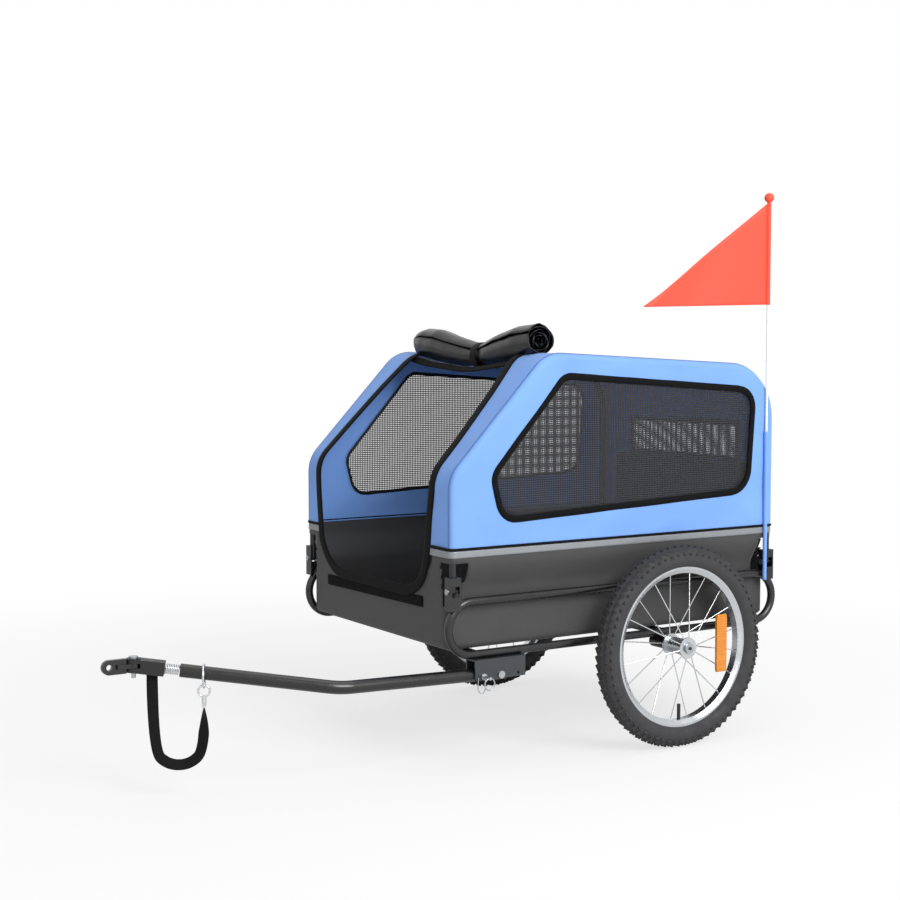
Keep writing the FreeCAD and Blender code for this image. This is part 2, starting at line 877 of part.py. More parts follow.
def roof_section(x, wide, flat):
    top = roof_line(x) + float(skin_out)
    foot = top - float(S.cloth)
    sag = roof_sag(x)
    points = []
    for z in (top, foot):
        points.append([
            Vector(x, -wide, z), Vector(x, -flat, z), Vector(x, 0, z - sag),
            Vector(x, flat, z), Vector(x, wide, z),
        ])
    upper, lower = points
    return Part.Wire([
        Part.LineSegment(upper[0], upper[1]).toShape(),
        Part.Arc(upper[1], upper[2], upper[3]).toShape(),
        Part.LineSegment(upper[3], upper[4]).toShape(),
        Part.LineSegment(upper[4], lower[4]).toShape(),
        Part.LineSegment(lower[4], lower[3]).toShape(),
        Part.Arc(lower[3], lower[2], lower[1]).toShape(),
        Part.LineSegment(lower[1], lower[0]).toShape(),
        Part.LineSegment(lower[0], upper[0]).toShape(),
    ])


# Places along the rolled front cover and its radius there
ROLL = [(-218, 27), (-131, 32), (-50, 28), (25, 24), (105, 29), (180, 31), (222, 29)]


def rolled_front_cover():
    """Cover rolled up on the roof's front edge, drawn in where it is tied."""
    x = float(S.roll_x)
    wires = []
    for y, radius in ROLL:
        sag = roof_sag(x) * (1 - (y / roof_half_flat()) ** 2)
        z = roof_line(x) + float(skin_out) - sag + radius + float(S.roll_clearance)
        wires.append(ring_wire(Vector(x, y, z), radius))
    node("rolled_front_cover", put(solid(Part.makeLoft(wires, True)), axle_x, 0, 0))


def ring_wire(centre, radius):
    """Circle square to Y, made of three arcs."""
    def spot(turn):
        return centre + Vector(math.cos(turn), 0, math.sin(turn)) * radius

    third = 2 * math.pi / 3
    return Part.Wire([
        Part.Arc(spot(i * third), spot((i + 0.5) * third), spot((i + 1) * third)).toShape()
        for i in range(3)
    ])


# Flag on the left rear corner
pole_y = panel_out + S.seat_gap + S.pole_d / 2 + S.slide_clearance + S.sleeve_wall


def flag():
    x = axle_x - S.pole_x
    bore = S.pole_d / 2 + S.slide_clearance
    node("flag_sleeve", cut(
        rod(bore + S.sleeve_wall, S.sleeve_top - S.sleeve_foot, x, pole_y, S.sleeve_foot),
        rod(bore, S.sleeve_top - S.pole_foot, x, pole_y, S.pole_foot),
    ))
    pole_foot = S.pole_foot + S.seat_gap
    node("flag_pole", rod(S.pole_d / 2, S.pole_top - pole_foot, x, pole_y, pole_foot))
    socket = rod(S.pole_d / 2, S.ball_d, x, pole_y, S.pole_top - S.ball_d)
    node("flag_ball", cut(ball(S.ball_d / 2, x, pole_y, S.pole_top), socket))
    height = S.pennant_top - S.pennant_foot
    cloth = Part.Face(Part.makePolygon([
        at(0, S.pennant_foot), at(S.pennant_length, S.pennant_foot - S.hoist_d),
        at(0, S.pennant_top), at(0, S.pennant_foot),
    ])).extrude(Vector(0, float(S.pennant_thick), 0))
    cloth.translate(Vector(0, -float(S.pennant_thick) / 2, 0))
    sail = put(solid(cloth), x, pole_y, 0)
    node("pennant", cut(
        fuse(rod(S.hoist_d / 2, height, x, pole_y, S.pennant_foot), sail),
        rod(bore, height + 4 * S.hoist_d, x, pole_y, S.pennant_foot - 2 * S.hoist_d),
    ))


# Tow bracket and arm
tow_y = S.loop_y - S.tow_gap / 2 - S.tow_plate
tow_width = S.tow_gap + 2 * S.tow_plate
tow_top = loop_low - S.tube_d / 2


def tow_bracket():
    length = S.tow_front - S.tow_rear
    left = axle_x + S.tow_rear
    holes = [
        (S.pivot_x, S.pivot_bolt_d / 2),
        (S.pivot_x + S.lock_reach, S.lock_pin_d / 2 + S.slide_clearance),
        (S.pivot_x - S.lock_reach, S.lock_pin_d / 2 + S.slide_clearance),
    ]
    node("tow_bracket", cut(
        block(length, tow_width, tow_top - S.tow_foot, left, tow_y, S.tow_foot),
        block(
            length, S.tow_gap, tow_top - S.tow_plate - S.tow_foot,
            left, tow_y + S.tow_plate, S.tow_foot,
        ),
        *[rod(r, tow_width, axle_x + x, tow_y, S.pivot_z, "Y") for x, r in holes],
    ))


def tow_pivot_bolt():
    x = axle_x + S.pivot_x
    head = S.bolt_head_thick
    node("tow_pivot_bolt", fuse(
        rod(S.pivot_bolt_d / 2, tow_width + 2 * head, x, tow_y - head, S.pivot_z, "Y"),
        rod(S.bolt_head_d / 2 + S.tow_plate / 2, head, x, tow_y + tow_width, S.pivot_z, "Y"),
        rod(S.bolt_head_d / 2 + S.tow_plate / 2, head, x, tow_y - head, S.pivot_z, "Y"),
    ))


def lock_pin():
    """Pin with a collar and a pull ring, whose tip stops just short of the arm."""
    x = axle_x + S.pivot_x + S.lock_reach
    face = tow_y + tow_width
    tip = S.loop_y + S.arm_d / 2 + S.seat_gap
    collar = S.lock_pin_d / 2
    ring_y = face + S.lock_pin_out
    turn = Rotation(Vector(1, 0, 0), 90) * Rotation(UP, 90)
    node("lock_pin", fuse(
        rod(S.lock_pin_d / 2, ring_y - tip, x, tip, S.pivot_z, "Y"),
        rod(S.lock_pin_d / 2 + collar, collar, x, face + S.seat_gap, S.pivot_z, "Y"),
        torus(
            S.lock_ring_d / 2, S.lock_ring_wire / 2,
            x, ring_y - S.lock_pin_d / 2, S.pivot_z - S.lock_ring_d / 2, turn,
        ),
    ))


pivot = Vector(float(S.pivot_x), float(S.loop_y), float(S.pivot_z))
arm_bend = Vector(float(S.arm_bend_x), float(S.loop_y), float(S.arm_bend_z))
hitch_pin_at = Vector(float(S.hitch_pin_x), float(S.hitch_pin_y), float(S.hitch_pin_z))
arm_way = (hitch_pin_at - arm_bend).normalize()
coupler_at = hitch_pin_at - arm_way * float(S.coupler_length)
arm_end = coupler_at - arm_way * float(S.spring_length)
plan_way = Vector(arm_way.x, arm_way.y, 0).normalize()
side_way = UP.cross(plan_way)
arm_turn = Rotation(plan_way, side_way, UP, "ZXY").multiply(
    Rotation(Vector(0, 1, 0), -math.degrees(math.asin(arm_way.z)))
)


def tow_arm():
    first = (arm_bend - pivot).normalize()
    start = pivot - first * float(S.arm_tail)
    wire = rounded([start, arm_bend, arm_end], [S.arm_bend_radius])
    plug_start = arm_end - arm_way * float(S.arm_plug)
    hollow = rounded([start, arm_bend, plug_start], [S.arm_bend_radius])
    bore = pipe(hollow, S.arm_d / 2 - S.arm_wall)
    across = Vector(0, 1, 0)
    wide = float(S.arm_d)
    eye = float(S.pivot_bolt_d / 2 + S.pivot_clearance)
    lock = pivot + first * float(S.lock_reach)
    lock_eye = float(S.lock_pin_d / 2 + S.slide_clearance)
    holes = [
        Part.makeCylinder(eye, 2 * wide, pivot - across * wide, across),
        Part.makeCylinder(lock_eye, 2 * wide, lock - across * wide, across),
    ]
    shape = pipe(wire, S.arm_d / 2).cut([bore] + holes)
    node("tow_arm", put(solid(shape), axle_x, 0, 0))


def local(obj, origin, turn):
    """Places an object that was made in the arm's own directions."""
    return put(obj, axle_x + origin.x, origin.y, origin.z, turn)


def coupler_body():
    """Square bar behind a fork with a level slot and an upright pin hole."""
    half = S.coupler_width / 2
    high = S.coupler_height
    bar = block(S.coupler_length, S.coupler_width, high, 0, -half, -high / 2)
    bar = local(together([bar]), coupler_at, arm_turn)
    x = axle_x + hitch_pin_at.x
    y = hitch_pin_at.y
    z = S.hitch_pin_z
    eye = rod(half, high, x, y, z - high / 2)
    slot = block(
        4 * S.coupler_width, 4 * S.coupler_width, S.coupler_slot,
        -half - S.slot_clearance, -2 * S.coupler_width, -S.coupler_slot / 2,
    )
    slot = local(together([slot]), hitch_pin_at, Rotation(plan_way, side_way, UP, "ZXY"))
    hole = rod(S.hitch_pin_d / 2, 4 * high, x, y, z - 2 * high)
    node("coupler_body", cut(fuse(bar, eye), slot, hole))


def hitch_pin():
    x = axle_x + hitch_pin_at.x
    y = hitch_pin_at.y
    high = S.coupler_height / 2
    head = S.bolt_head_thick
    node("hitch_pin", fuse(
        rod(S.hitch_pin_d / 2, 2 * high + 4 * head, x, y, S.hitch_pin_z - high - 3 * head),
        rod(S.hitch_pin_d, head, x, y, S.hitch_pin_z + high + S.seat_gap),
    ))


def axle_bracket():
    """Tongue in the coupler's fork and an upright eye that goes on the bicycle's axle."""
    x = axle_x + S.hitch_pin_x
    y = S.hitch_pin_y
    z = S.hitch_pin_z
    thick = S.coupler_slot - 2 * S.slot_clearance
    clear = S.coupler_width / 2 + S.slot_clearance
    disc = S.coupler_width / 2 - S.slot_clearance
    end = S.fork_end_d / 2
    node("axle_bracket", cut(
        fuse(
            rod(disc, thick, x, y, z - thick / 2),
            block(S.fork_reach - end, S.fork_bar, thick, x, y - S.fork_bar / 2, z - thick / 2),
            block(
                S.fork_reach - clear - 4 * S.slot_clearance, S.fork_plate, S.fork_end_d,
                x + clear + 4 * S.slot_clearance, y - S.fork_plate / 2, z - end,
            ),
            rod(end, S.fork_plate, x + S.fork_reach, y - S.fork_plate / 2, z, "Y"),
        ),
        rod(S.hitch_pin_d / 2 + S.hitch_clearance, 2 * thick, x, y, z - thick),
        rod(S.axle_hole_d / 2, 4 * S.fork_plate, x + S.fork_reach, y - 2 * S.fork_plate, z, "Y"),
    ))


def flex_spring():
    """Coil between the arm and the coupler, on arcs of a quarter turn."""
    wire = float(S.spring_wire)
    radius = (float(S.spring_d) - wire) / 2
    length = float(S.spring_length) - 2 * float(S.spring_gap) - wire
    steps = 4 * SPRING_TURNS
    start = float(S.spring_gap) + wire / 2

    def spot(step):
        turn = step * math.pi / 2
        along = start + length * step / steps
        return Vector(along, radius * math.cos(turn), radius * math.sin(turn))

    edges = []
    for i in range(steps):
        leave = heading(i, radius, length, steps)
        arrive = heading(i + 1, radius, length, steps)
        edges += biarc(spot(i), leave, spot(i + 1), arrive)
    spine = Part.Wire(edges)
    circle = Part.Wire(Part.makeCircle(wire / 2, spot(0), heading(0, radius, length, steps)))
    shape = spine.makePipeShell([circle], True, False)
    points = spine.discretize(steps * 12)
    gap = least_gap(points, wire, 12)
    print(f"flex spring: least gap to itself {gap:.2f}, volume {shape.Volume:.0f}")
    node("flex_spring", local(solid(shape), arm_end, arm_turn))


def heading(step, radius, length, steps):
    turn = step * math.pi / 2
    advance = length / steps
    swing = radius * math.pi / 2
    return Vector(advance, -swing * math.sin(turn), swing * math.cos(turn)).normalize()


def biarc(start, leave, stop, arrive):
    """Two arcs that join two points in the two given directions."""
    chord = stop - start
    both = leave + arrive
    a = 2 * (1 - leave.dot(arrive))
    b = 2 * chord.dot(both)
    reach = (math.sqrt(b * b + 4 * a * chord.dot(chord)) - b) / (2 * a)
    first = start + leave * reach
    second = stop - arrive * reach
    joint = (first + second) * 0.5
    return [arc_from(start, leave, joint), arc_from(joint, (second - first).normalize(), stop)]


def arc_from(start, way, stop):
    chord = stop - start
    half = chord.getAngle(way) / 2
    across = (chord - way * chord.dot(way)).normalize()
    reach = chord.Length / (2 * math.cos(half))
    middle = start + (way * math.cos(half) + across * math.sin(half)) * reach
    return Part.Arc(start, middle, stop).toShape()


def least_gap(points, wire, lap):
    """Least clear distance between stretches of a coil that are over half a turn apart."""
    far = 2 * lap
    return min(
        (points[i] - points[k]).Length for i in range(len(points)) for k in range(i + far, len(points))
    ) - wire


# Safety strap, its ring and its hook
strap_at = arm_end - arm_way * float(S.ring_back)


flat_turn = Rotation(plan_way, side_way, UP, "ZXY")


def ring_drop():
    """Depth of the ring's middle under the arm's axis: it hangs plumb on the sloping arm."""
    rest = S.arm_d / 2 + S.ring_wire / 2 + S.slide_clearance
    return S.ring_d / 2 - rest / plan_way.dot(arm_way)


def strap_ring():
    centre = strap_at - UP * float(ring_drop())
    turn = flat_turn.multiply(Rotation(Vector(0, 1, 0), 90))
    ring = torus(S.ring_d / 2, S.ring_wire / 2, 0, 0, 0)
    node("strap_ring", local(together([ring]), centre, turn))


def hook_drop():
    """Depth of the hook's middle under the arm's axis."""
    inside = ring_drop() + S.ring_d / 2 - S.ring_wire / 2
    return inside - S.hook_wire / 2 - S.slide_clearance + S.hook_d / 2


def snap_hook():
    centre = strap_at - UP * float(hook_drop())
    foot = S.hook_d / 2
    barrel = 3 * S.hook_wire
    eye = 1.5 * S.hook_wire
    low = -(foot + barrel)
    bar = S.strap_width + S.hook_wire
    hook = fuse(
        torus(S.hook_d / 2, S.hook_wire / 2, 0, 0, 0, TURN["Y"]),
        rod(S.hook_wire, barrel, 0, 0, low),
        block(eye, bar, eye, -eye / 2, -bar / 2, low - eye),
    )
    node("snap_hook", local(hook, centre, flat_turn))


# Route of the strap: distance along the arm's heading from the arm's end, and height
STRAP = [(48.5, 224), (48.5, 86), (22, 60), (-15, 60), (-41.5, 86), (-41, 165)]


def strap_points():
    """The route, with its two ends moved to the coupler's foot and the hook's eye."""
    top = coupler_at + arm_way * (STRAP[0][0] - float(S.spring_length))
    high = float(S.coupler_height) / 2 / plan_way.dot(arm_way)
    head = top.z - high - float(S.seat_gap)
    eye = 1.5 * float(S.hook_wire)
    low = strap_at.z - float(hook_drop() + S.hook_d / 2 + 3 * S.hook_wire) - eye
    route = [Vector(a, 0, z) for a, z in STRAP]
    route[0] = Vector(STRAP[0][0], 0, head)
    route[-1] = Vector(-float(S.ring_back), 0, low - float(S.seat_gap))
    return route


def cord_radii(points):
    radii = []
    for before, corner, after in zip(points, points[1:], points[2:]):
        back = before - corner
        on = after - corner
        turn = math.pi - back.getAngle(on)
        radii.append(0.45 * min(back.Length, on.Length) / math.tan(turn / 2))
    return radii


def safety_strap():
    points = strap_points()
    radii = cord_radii(points)
    print("safety strap: radii", [round(r) for r in radii])
    half = float(S.strap_thick) / 2
    centre = rounded(points, radii)
    bend = turning(points)
    sides = []
    for shift in (half, -half):
        moved = offset_path(points, shift)
        sides.append(rounded(moved, [r + shift * b for r, b in zip(radii, bend)]))
    near, far = sides
    ends = [
        Part.LineSegment(near.OrderedVertexes[i].Point, far.OrderedVertexes[i].Point).toShape()
        for i in (0, -1)
    ]
    outline = Part.Wire(Part.__sortEdges__(near.Edges + far.Edges + ends))
    width = float(S.strap_width)
    shape = Part.Face(outline).extrude(Vector(0, width, 0))
    shape.translate(Vector(0, -width / 2, 0))
    ratio = shape.Volume / (centre.Length * width * 2 * half)
    print(f"safety strap: length {centre.Length:.0f}, volume ratio {ratio:.3f}")
    origin = Vector(arm_end.x, arm_end.y, 0)
    node("safety_strap", local(solid(shape), origin, Rotation(plan_way, side_way, UP, "ZXY")))


def turning(points):
    """1 where the route turns left of its way, seen along +Y, and -1 where it turns right."""
    signs = []
    for before, corner, after in zip(points, points[1:], points[2:]):
        p = corner - before
        q = after - corner
        signs.append(1 if p.x * q.z - p.z * q.x > 0 else -1)
    return signs


# Route of the lock pin's wire lanyard, from the tow bracket to the pin's shank
LANYARD = [
    (450, 296.2, 179), (451, 296.6, 168), (452, 297.4, 158), (447, 298.6, 150),
    (440.5, 300, 151), (438.2, 300.9, 160), (438, 301, 170), (438, 301, 177.7),
]


def lanyard():
    points = [Vector(*p) for p in LANYARD]
    radii = cord_radii(points)
    print("lanyard: radii", [round(r, 1) for r in radii])
    wire = rounded(points, radii)
    shape = pipe(wire, LANYARD_D / 2)
    print(f"lanyard: length {wire.Length:.0f}")
    node("lanyard", put(solid(shape), axle_x, 0, 0))


def build():
    for side, sign in (("left", 1), ("right", -1)):
        wheel(side, sign)
        side_loop(side, sign)
        axle_receiver(side, sign)
        arch(side, sign)
        side_panel(side, sign)
        side_window_mesh(side, sign)
    cross_tubes()
    node("corner_brackets", together([corner_bracket(x, sign) for x, sign in CORNERS]))
    node("hinge_bolts", together([hinge_bolt(x, sign) for x, sign in CORNERS]))
    tub()
    floor_board()
    rear_panel()
    rear_window_mesh()
    front_panel()
    roof_panel()
    rolled_front_cover()
    flag()
    tow_bracket()
    tow_pivot_bolt()
    lock_pin()
    lanyard()
    tow_arm()
    flex_spring()
    coupler_body()
    hitch_pin()
    axle_bracket()
    strap_ring()
    snap_hook()
    safety_strap()


def check():
    """Stops if any object failed or any piece isn't a sound solid."""
    doc.recompute()
    for obj in doc.Objects:
        if "Invalid" in obj.State or "Error" in obj.State:
            raise RuntimeError(f"{obj.Name} ({obj.Label}) failed: {obj.State}")
    for label, obj in NODES.items():
        shape = obj.Shape
        if shape.isNull() or not shape.isValid() or not shape.Solids:
            raise RuntimeError(f"{label} is not a sound solid")


def export():
    os.makedirs("parts", exist_ok=True)
    for label, obj in NODES.items():
        obj.Shape.exportStep(f"parts/{label}.step")


build()
check()
export()
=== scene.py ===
import math

import bmesh
import bpy
import numpy as np
from bpy.props import FloatProperty, FloatVectorProperty, IntProperty, PointerProperty
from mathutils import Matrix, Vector, noise


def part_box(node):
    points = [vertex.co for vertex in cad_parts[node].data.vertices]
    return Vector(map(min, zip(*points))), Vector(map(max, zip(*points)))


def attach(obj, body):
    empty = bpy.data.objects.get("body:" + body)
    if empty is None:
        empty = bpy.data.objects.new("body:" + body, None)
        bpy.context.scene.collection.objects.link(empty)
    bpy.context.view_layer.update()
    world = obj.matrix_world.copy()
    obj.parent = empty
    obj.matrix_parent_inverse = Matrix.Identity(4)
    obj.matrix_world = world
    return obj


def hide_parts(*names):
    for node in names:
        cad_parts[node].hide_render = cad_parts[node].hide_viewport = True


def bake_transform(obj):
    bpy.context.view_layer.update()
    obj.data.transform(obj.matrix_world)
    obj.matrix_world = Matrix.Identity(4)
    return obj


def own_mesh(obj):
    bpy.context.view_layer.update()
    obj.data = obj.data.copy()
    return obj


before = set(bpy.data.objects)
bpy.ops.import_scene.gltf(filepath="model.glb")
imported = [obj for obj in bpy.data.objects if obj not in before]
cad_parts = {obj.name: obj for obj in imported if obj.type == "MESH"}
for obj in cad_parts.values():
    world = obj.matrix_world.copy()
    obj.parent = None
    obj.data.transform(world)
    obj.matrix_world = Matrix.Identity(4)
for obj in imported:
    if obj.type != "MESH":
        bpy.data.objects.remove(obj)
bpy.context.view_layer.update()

bl_info = {
    "name": "Dog bike trailer",
    "version": (1, 0, 0),
    "blender": (4, 5, 0),
    "location": "3D View > Sidebar > Trailer",
    "description": "Dresses the packed frame of a folding dog trailer in cloth, net, rubber and metal",
    "category": "Add Mesh",
}

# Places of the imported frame, in metres. Runs in the XZ plane are measured from the wheel axle.
AXLE_X = -0.4022
AXLE_Z = 0.2
HALF_TRACK = 0.3324
LOOP_Y = 0.279
WAIST = 0.419
SKIN = 0.0083
FRONT_POST = 0.495
REAR_POST = -0.278
ARCH = [
    (FRONT_POST, WAIST), (FRONT_POST, 0.550), (0.285, 0.770), (REAR_POST, 0.742), (REAR_POST, WAIST),
]
ARCH_RADII = [0.060, 0.070, 0.105]
WINDOW = [(0.396, 0.461), (-0.222, 0.489), (-0.238, 0.707), (0.252, 0.741), (0.420, 0.553)]
WINDOW_RADII = [0.045, 0.055, 0.045, 0.040, 0.040]
WINDOW_MIDDLE = np.array([0.10, 0.60])
ROOF_REAR = -0.1755
ROOF_FRONT = 0.292
ROOF_HALF = 0.266
PILLAR_END = 0.250
REAR_WINDOW = (0.180, 0.548, 0.628)
REAR_STRAIGHT = -0.2855
REAR_NET_X = -0.2852
REAR_BINDING_X = -0.2876
REAR_FLAP_X = -0.2790
LAP = 0.0006
TYRE_OUTER = 0.1972
TYRE_SECTION = 0.0215

# The tub: half width, front and rear as the size at the foot and what the flare adds
TUB_SIZES = ((0.2660, 0.0213), (0.4997, 0.0040), (0.2847, 0.0020))
TUB_CORNER = 0.013
TUB_FOOT = 0.2290
FLARE_FOOT = 0.337
FLARE_HEIGHT = 0.058
SILL = 0.325
FRONT_WALL = 0.49
BRACKET_REACH = 0.027
BRACKET_INSIDE = 0.250
BRACKET_HEIGHTS = (0.312, 0.392)

# Foot of the flag pole
POLE = (-0.6642, 0.2929)

# The strap's route: along the arm's heading from the arm's end, and height
STRAP_WIDTH = 0.020
ARM_END = np.array((0.5752, 0.1529, 0.0))
HEADING = np.array((0.8917, -0.4526, 0.0))
STRAP = [
    (0.0485, 0.2213), (0.0485, 0.086), (0.022, 0.060), (-0.015, 0.060), (-0.0415, 0.086),
    (-0.041, 0.1617),
]
LANYARD_WIRE = 0.0018
LANYARD = [
    (0.0478, 0.2962, 0.179), (0.0488, 0.2966, 0.168), (0.0498, 0.2974, 0.158),
    (0.0448, 0.2986, 0.150), (0.0383, 0.3000, 0.151), (0.0360, 0.3009, 0.160),
    (0.0358, 0.3010, 0.170), (0.0358, 0.3010, 0.1777),
]

# The coil between the arm and the coupler
FLEX_AT = np.array((0.5752, 0.1529, 0.2273))
FLEX_WAY = np.array((0.8839, -0.4486, 0.1326))
FLEX_LENGTH = 0.027
FLEX_RADIUS = 0.0083
FLEX_WIRE = 0.0012
FLEX_TURNS = 8

# Studio: the camera was fitted to the photograph
CAMERA_AT = (1.6310, 2.7190, 0.7906)
CAMERA_WAY = (-0.5306, -0.8451, -0.0652)
CAMERA_LENS = 63.46
FLOOR_HALF = 40.0
WORLD_LIGHT = 0.42
LAMP_AIM = (-0.2, 0.0, 0.4)
LAMPS = [
    ("key", (-0.4, 3.8, 2.6), 2.4, 150.0),
    ("fill", (3.6, 0.6, 2.2), 2.6, 8.0),
    ("top", (-0.6, 0.2, 4.2), 3.0, 30.0),
]

SIDES = (("left", 1), ("right", -1))
made = {}


def linear(code):
    """Linear RGBA of an sRGB hex colour."""
    parts = [int(code[i:i + 2], 16) / 255 for i in (1, 3, 5)]
    return tuple(c / 12.92 if c <= 0.04045 else ((c + 0.055) / 1.055) ** 2.4 for c in parts) + (1.0,)


def shade(name, words, code):
    return FloatVectorProperty(
        name=name, description=words, subtype="COLOR", size=4, min=0, max=1, default=linear(code)
    )


def length(name, words, default):
    return FloatProperty(
        name=name, description=words, default=default, min=0.0001, unit="LENGTH", subtype="DISTANCE"
    )


class TrailerColours(bpy.types.PropertyGroup):
    """Colours of the trailer's finishes"""

    cloth: shade("Cabin cloth", "Coated polyester of the cabin", "#76A4EC")
    tub: shade("Tub cloth", "Coated polyester of the tub", "#3E3E3F")
    binding: shade("Binding", "Bindings, trim and webbing", "#0B0B0C")
    net: shade("Net", "Window netting", "#26272C")
    cover: shade("Cover", "Rolled rain cover", "#0C0C0E")
    band: shade("Reflective band", "Band under the waist", "#8E9296")
    flag: shade("Flag", "Safety flag and ball", "#FA513B")
    paint: shade("Paint", "Powder coat on the tubes", "#121214")
    bracket: shade("Bracket", "Paint on the tow bracket", "#3E4144")
    rubber: shade("Tyres", "Tyre rubber", "#343436")
    amber: shade("Reflectors", "Wheel reflectors", "#D88312")


class TrailerSizes(bpy.types.PropertyGroup):
    """Sizes that the dressing adds to the frame"""

    cloth_thick: length("Cloth", "Thickness of the cloth", 0.0010)
    binding: length("Window binding", "Width of a window's binding", 0.012)
    trim: length("Doorway trim", "Width of the binding round the doorway", 0.020)
    band: length("Reflective band", "Height of the band under the waist", 0.013)
    net_cell: length("Net cell", "Spacing of the net's strands as drawn", 0.0042)
    weave: length("Weave", "Spacing of the cloth's threads as drawn", 0.0024)
    knobs: IntProperty(name="Tread blocks", description="Blocks in one row of a tyre", default=72, min=8)
    roll_turns: FloatProperty(name="Roll", description="Turns of the rolled cover", default=5, min=1)


def colours():
    return bpy.context.scene.trailer_colours


def sizes():
    return bpy.context.scene.trailer_sizes


# Materials
def add(tree, kind, settings=None, **links):
    """One node, with its settings, and its inputs as values or as other nodes' sockets."""
    node = tree.nodes.new(kind)
    for name, value in (settings or {}).items():
        setattr(node, name, value)
    for name, value in links.items():
        key = int(name[1:]) if name[0] == "_" else name.replace("_", " ")
        if isinstance(value, bpy.types.NodeSocket):
            tree.links.new(value, node.inputs[key])
        else:
            node.inputs[key].default_value = value
    return node


def combine(tree, operation, first, second):
    """Socket of a maths node with two inputs."""
    return add(tree, "ShaderNodeMath", {"operation": operation}, _0=first, _1=second).outputs[0]


def remap(tree, value, low, high, to_low, to_high):
    """Socket with a value moved from one range to another."""
    return add(
        tree, "ShaderNodeMapRange", None, _0=value, _1=low, _2=high, _3=to_low, _4=to_high
    ).outputs[0]


def finish(name, **sockets):
    """A new material with its shader, and constants set on the shader's own sockets."""
    material = bpy.data.materials.new(name)
    material.use_nodes = True
    tree = material.node_tree
    shader = tree.nodes["Principled BSDF"]
    for key, value in sockets.items():
        shader.inputs[key.replace("_", " ")].default_value = value
    return material, tree, shader


def mottle(tree, shader, colour, scale, depth):
    """Colour that varies a little over the surface, read from Object coordinates."""
    place = add(tree, "ShaderNodeTexCoord").outputs["Object"]
    cloud = add(tree, "ShaderNodeTexNoise", None, Vector=place, Scale=scale, Detail=4.0)
    dark = tuple(c * (1 - depth) for c in colour[:3]) + (1.0,)
    light = tuple(min(1.0, c * (1 + depth)) for c in colour[:3]) + (1.0,)
    mix = add(
        tree, "ShaderNodeMix", {"data_type": "RGBA"}, _0=cloud.outputs[0], _6=dark, _7=light
    )
    tree.links.new(mix.outputs[2], shader.inputs["Base Color"])
    return place, cloud


def woven(name, colour, pitch, rough, sheen, depth=0.10, strength=0.35, shine=0.5):
    """Coated polyester: a plain weave under a thin coat, matt with a faint sheen.
    The threads are drawn coarser than real ones, so that they show in the render."""
    material, tree, shader = finish(
        name, Roughness=rough, Sheen_Weight=sheen, Sheen_Roughness=0.4, Specular_IOR_Level=shine
    )
    place, _ = mottle(tree, shader, colour, 9.0, depth)
    flat = add(tree, "ShaderNodeTexCoord").outputs["UV"]
    rate = 0.31416 / pitch
    warp = add(tree, "ShaderNodeTexWave", {"bands_direction": "X"}, Vector=flat, Scale=rate)
    weft = add(tree, "ShaderNodeTexWave", {"bands_direction": "Y"}, Vector=flat, Scale=rate)
    cross = combine(tree, "MULTIPLY", warp.outputs["Fac"], weft.outputs["Fac"])
    crease = add(tree, "ShaderNodeTexNoise", None, Vector=place, Scale=28.0, Detail=5.0)
    total = add(
        tree, "ShaderNodeMath", {"operation": "MULTIPLY_ADD"},
        _0=crease.outputs[0], _1=2.5, _2=cross,
    )
    bump = add(tree, "ShaderNodeBump", None, Strength=strength, Distance=0.0006, Height=total.outputs[0])
    tree.links.new(bump.outputs[0], shader.inputs["Normal"])
    return material


def netting(name, colour, cell):
    """Knitted polyester net: dark strands with open cells between them.
    The cells are drawn larger than real ones, so that they show in the render."""
    material, tree, shader = finish(name, Roughness=0.7)
    shader.inputs["Base Color"].default_value = colour
    flat = add(tree, "ShaderNodeTexCoord").outputs["UV"]
    rate = 0.31416 / cell
    waves = [
        add(tree, "ShaderNodeTexWave", {"bands_direction": way}, Vector=flat, Scale=rate).outputs["Fac"]
        for way in ("X", "Y")
    ]
    cover = remap(tree, combine(tree, "MAXIMUM", *waves), 0.50, 0.72, 0.05, 1.0)
    tree.links.new(cover, shader.inputs["Alpha"])
    return material


def coated(name, colour, scale, depth, rough, bump_size, **sockets):
    """A coat, casting or moulding with a fine orange-peel or grain, and slight wear in its gloss."""
    material, tree, shader = finish(name, **sockets)
    place, cloud = mottle(tree, shader, colour, scale, depth)
    gloss = remap(tree, cloud.outputs[0], 0.3, 0.7, rough * 0.8, min(1.0, rough * 1.2))
    tree.links.new(gloss, shader.inputs["Roughness"])
    peel = add(tree, "ShaderNodeTexNoise", None, Vector=place, Scale=0.6 / bump_size, Detail=2.0)
    bump = add(
        tree, "ShaderNodeBump", None, Strength=0.25, Distance=bump_size * 0.2, Height=peel.outputs[0]
    )
    tree.links.new(bump.outputs[0], shader.inputs["Normal"])
    return material


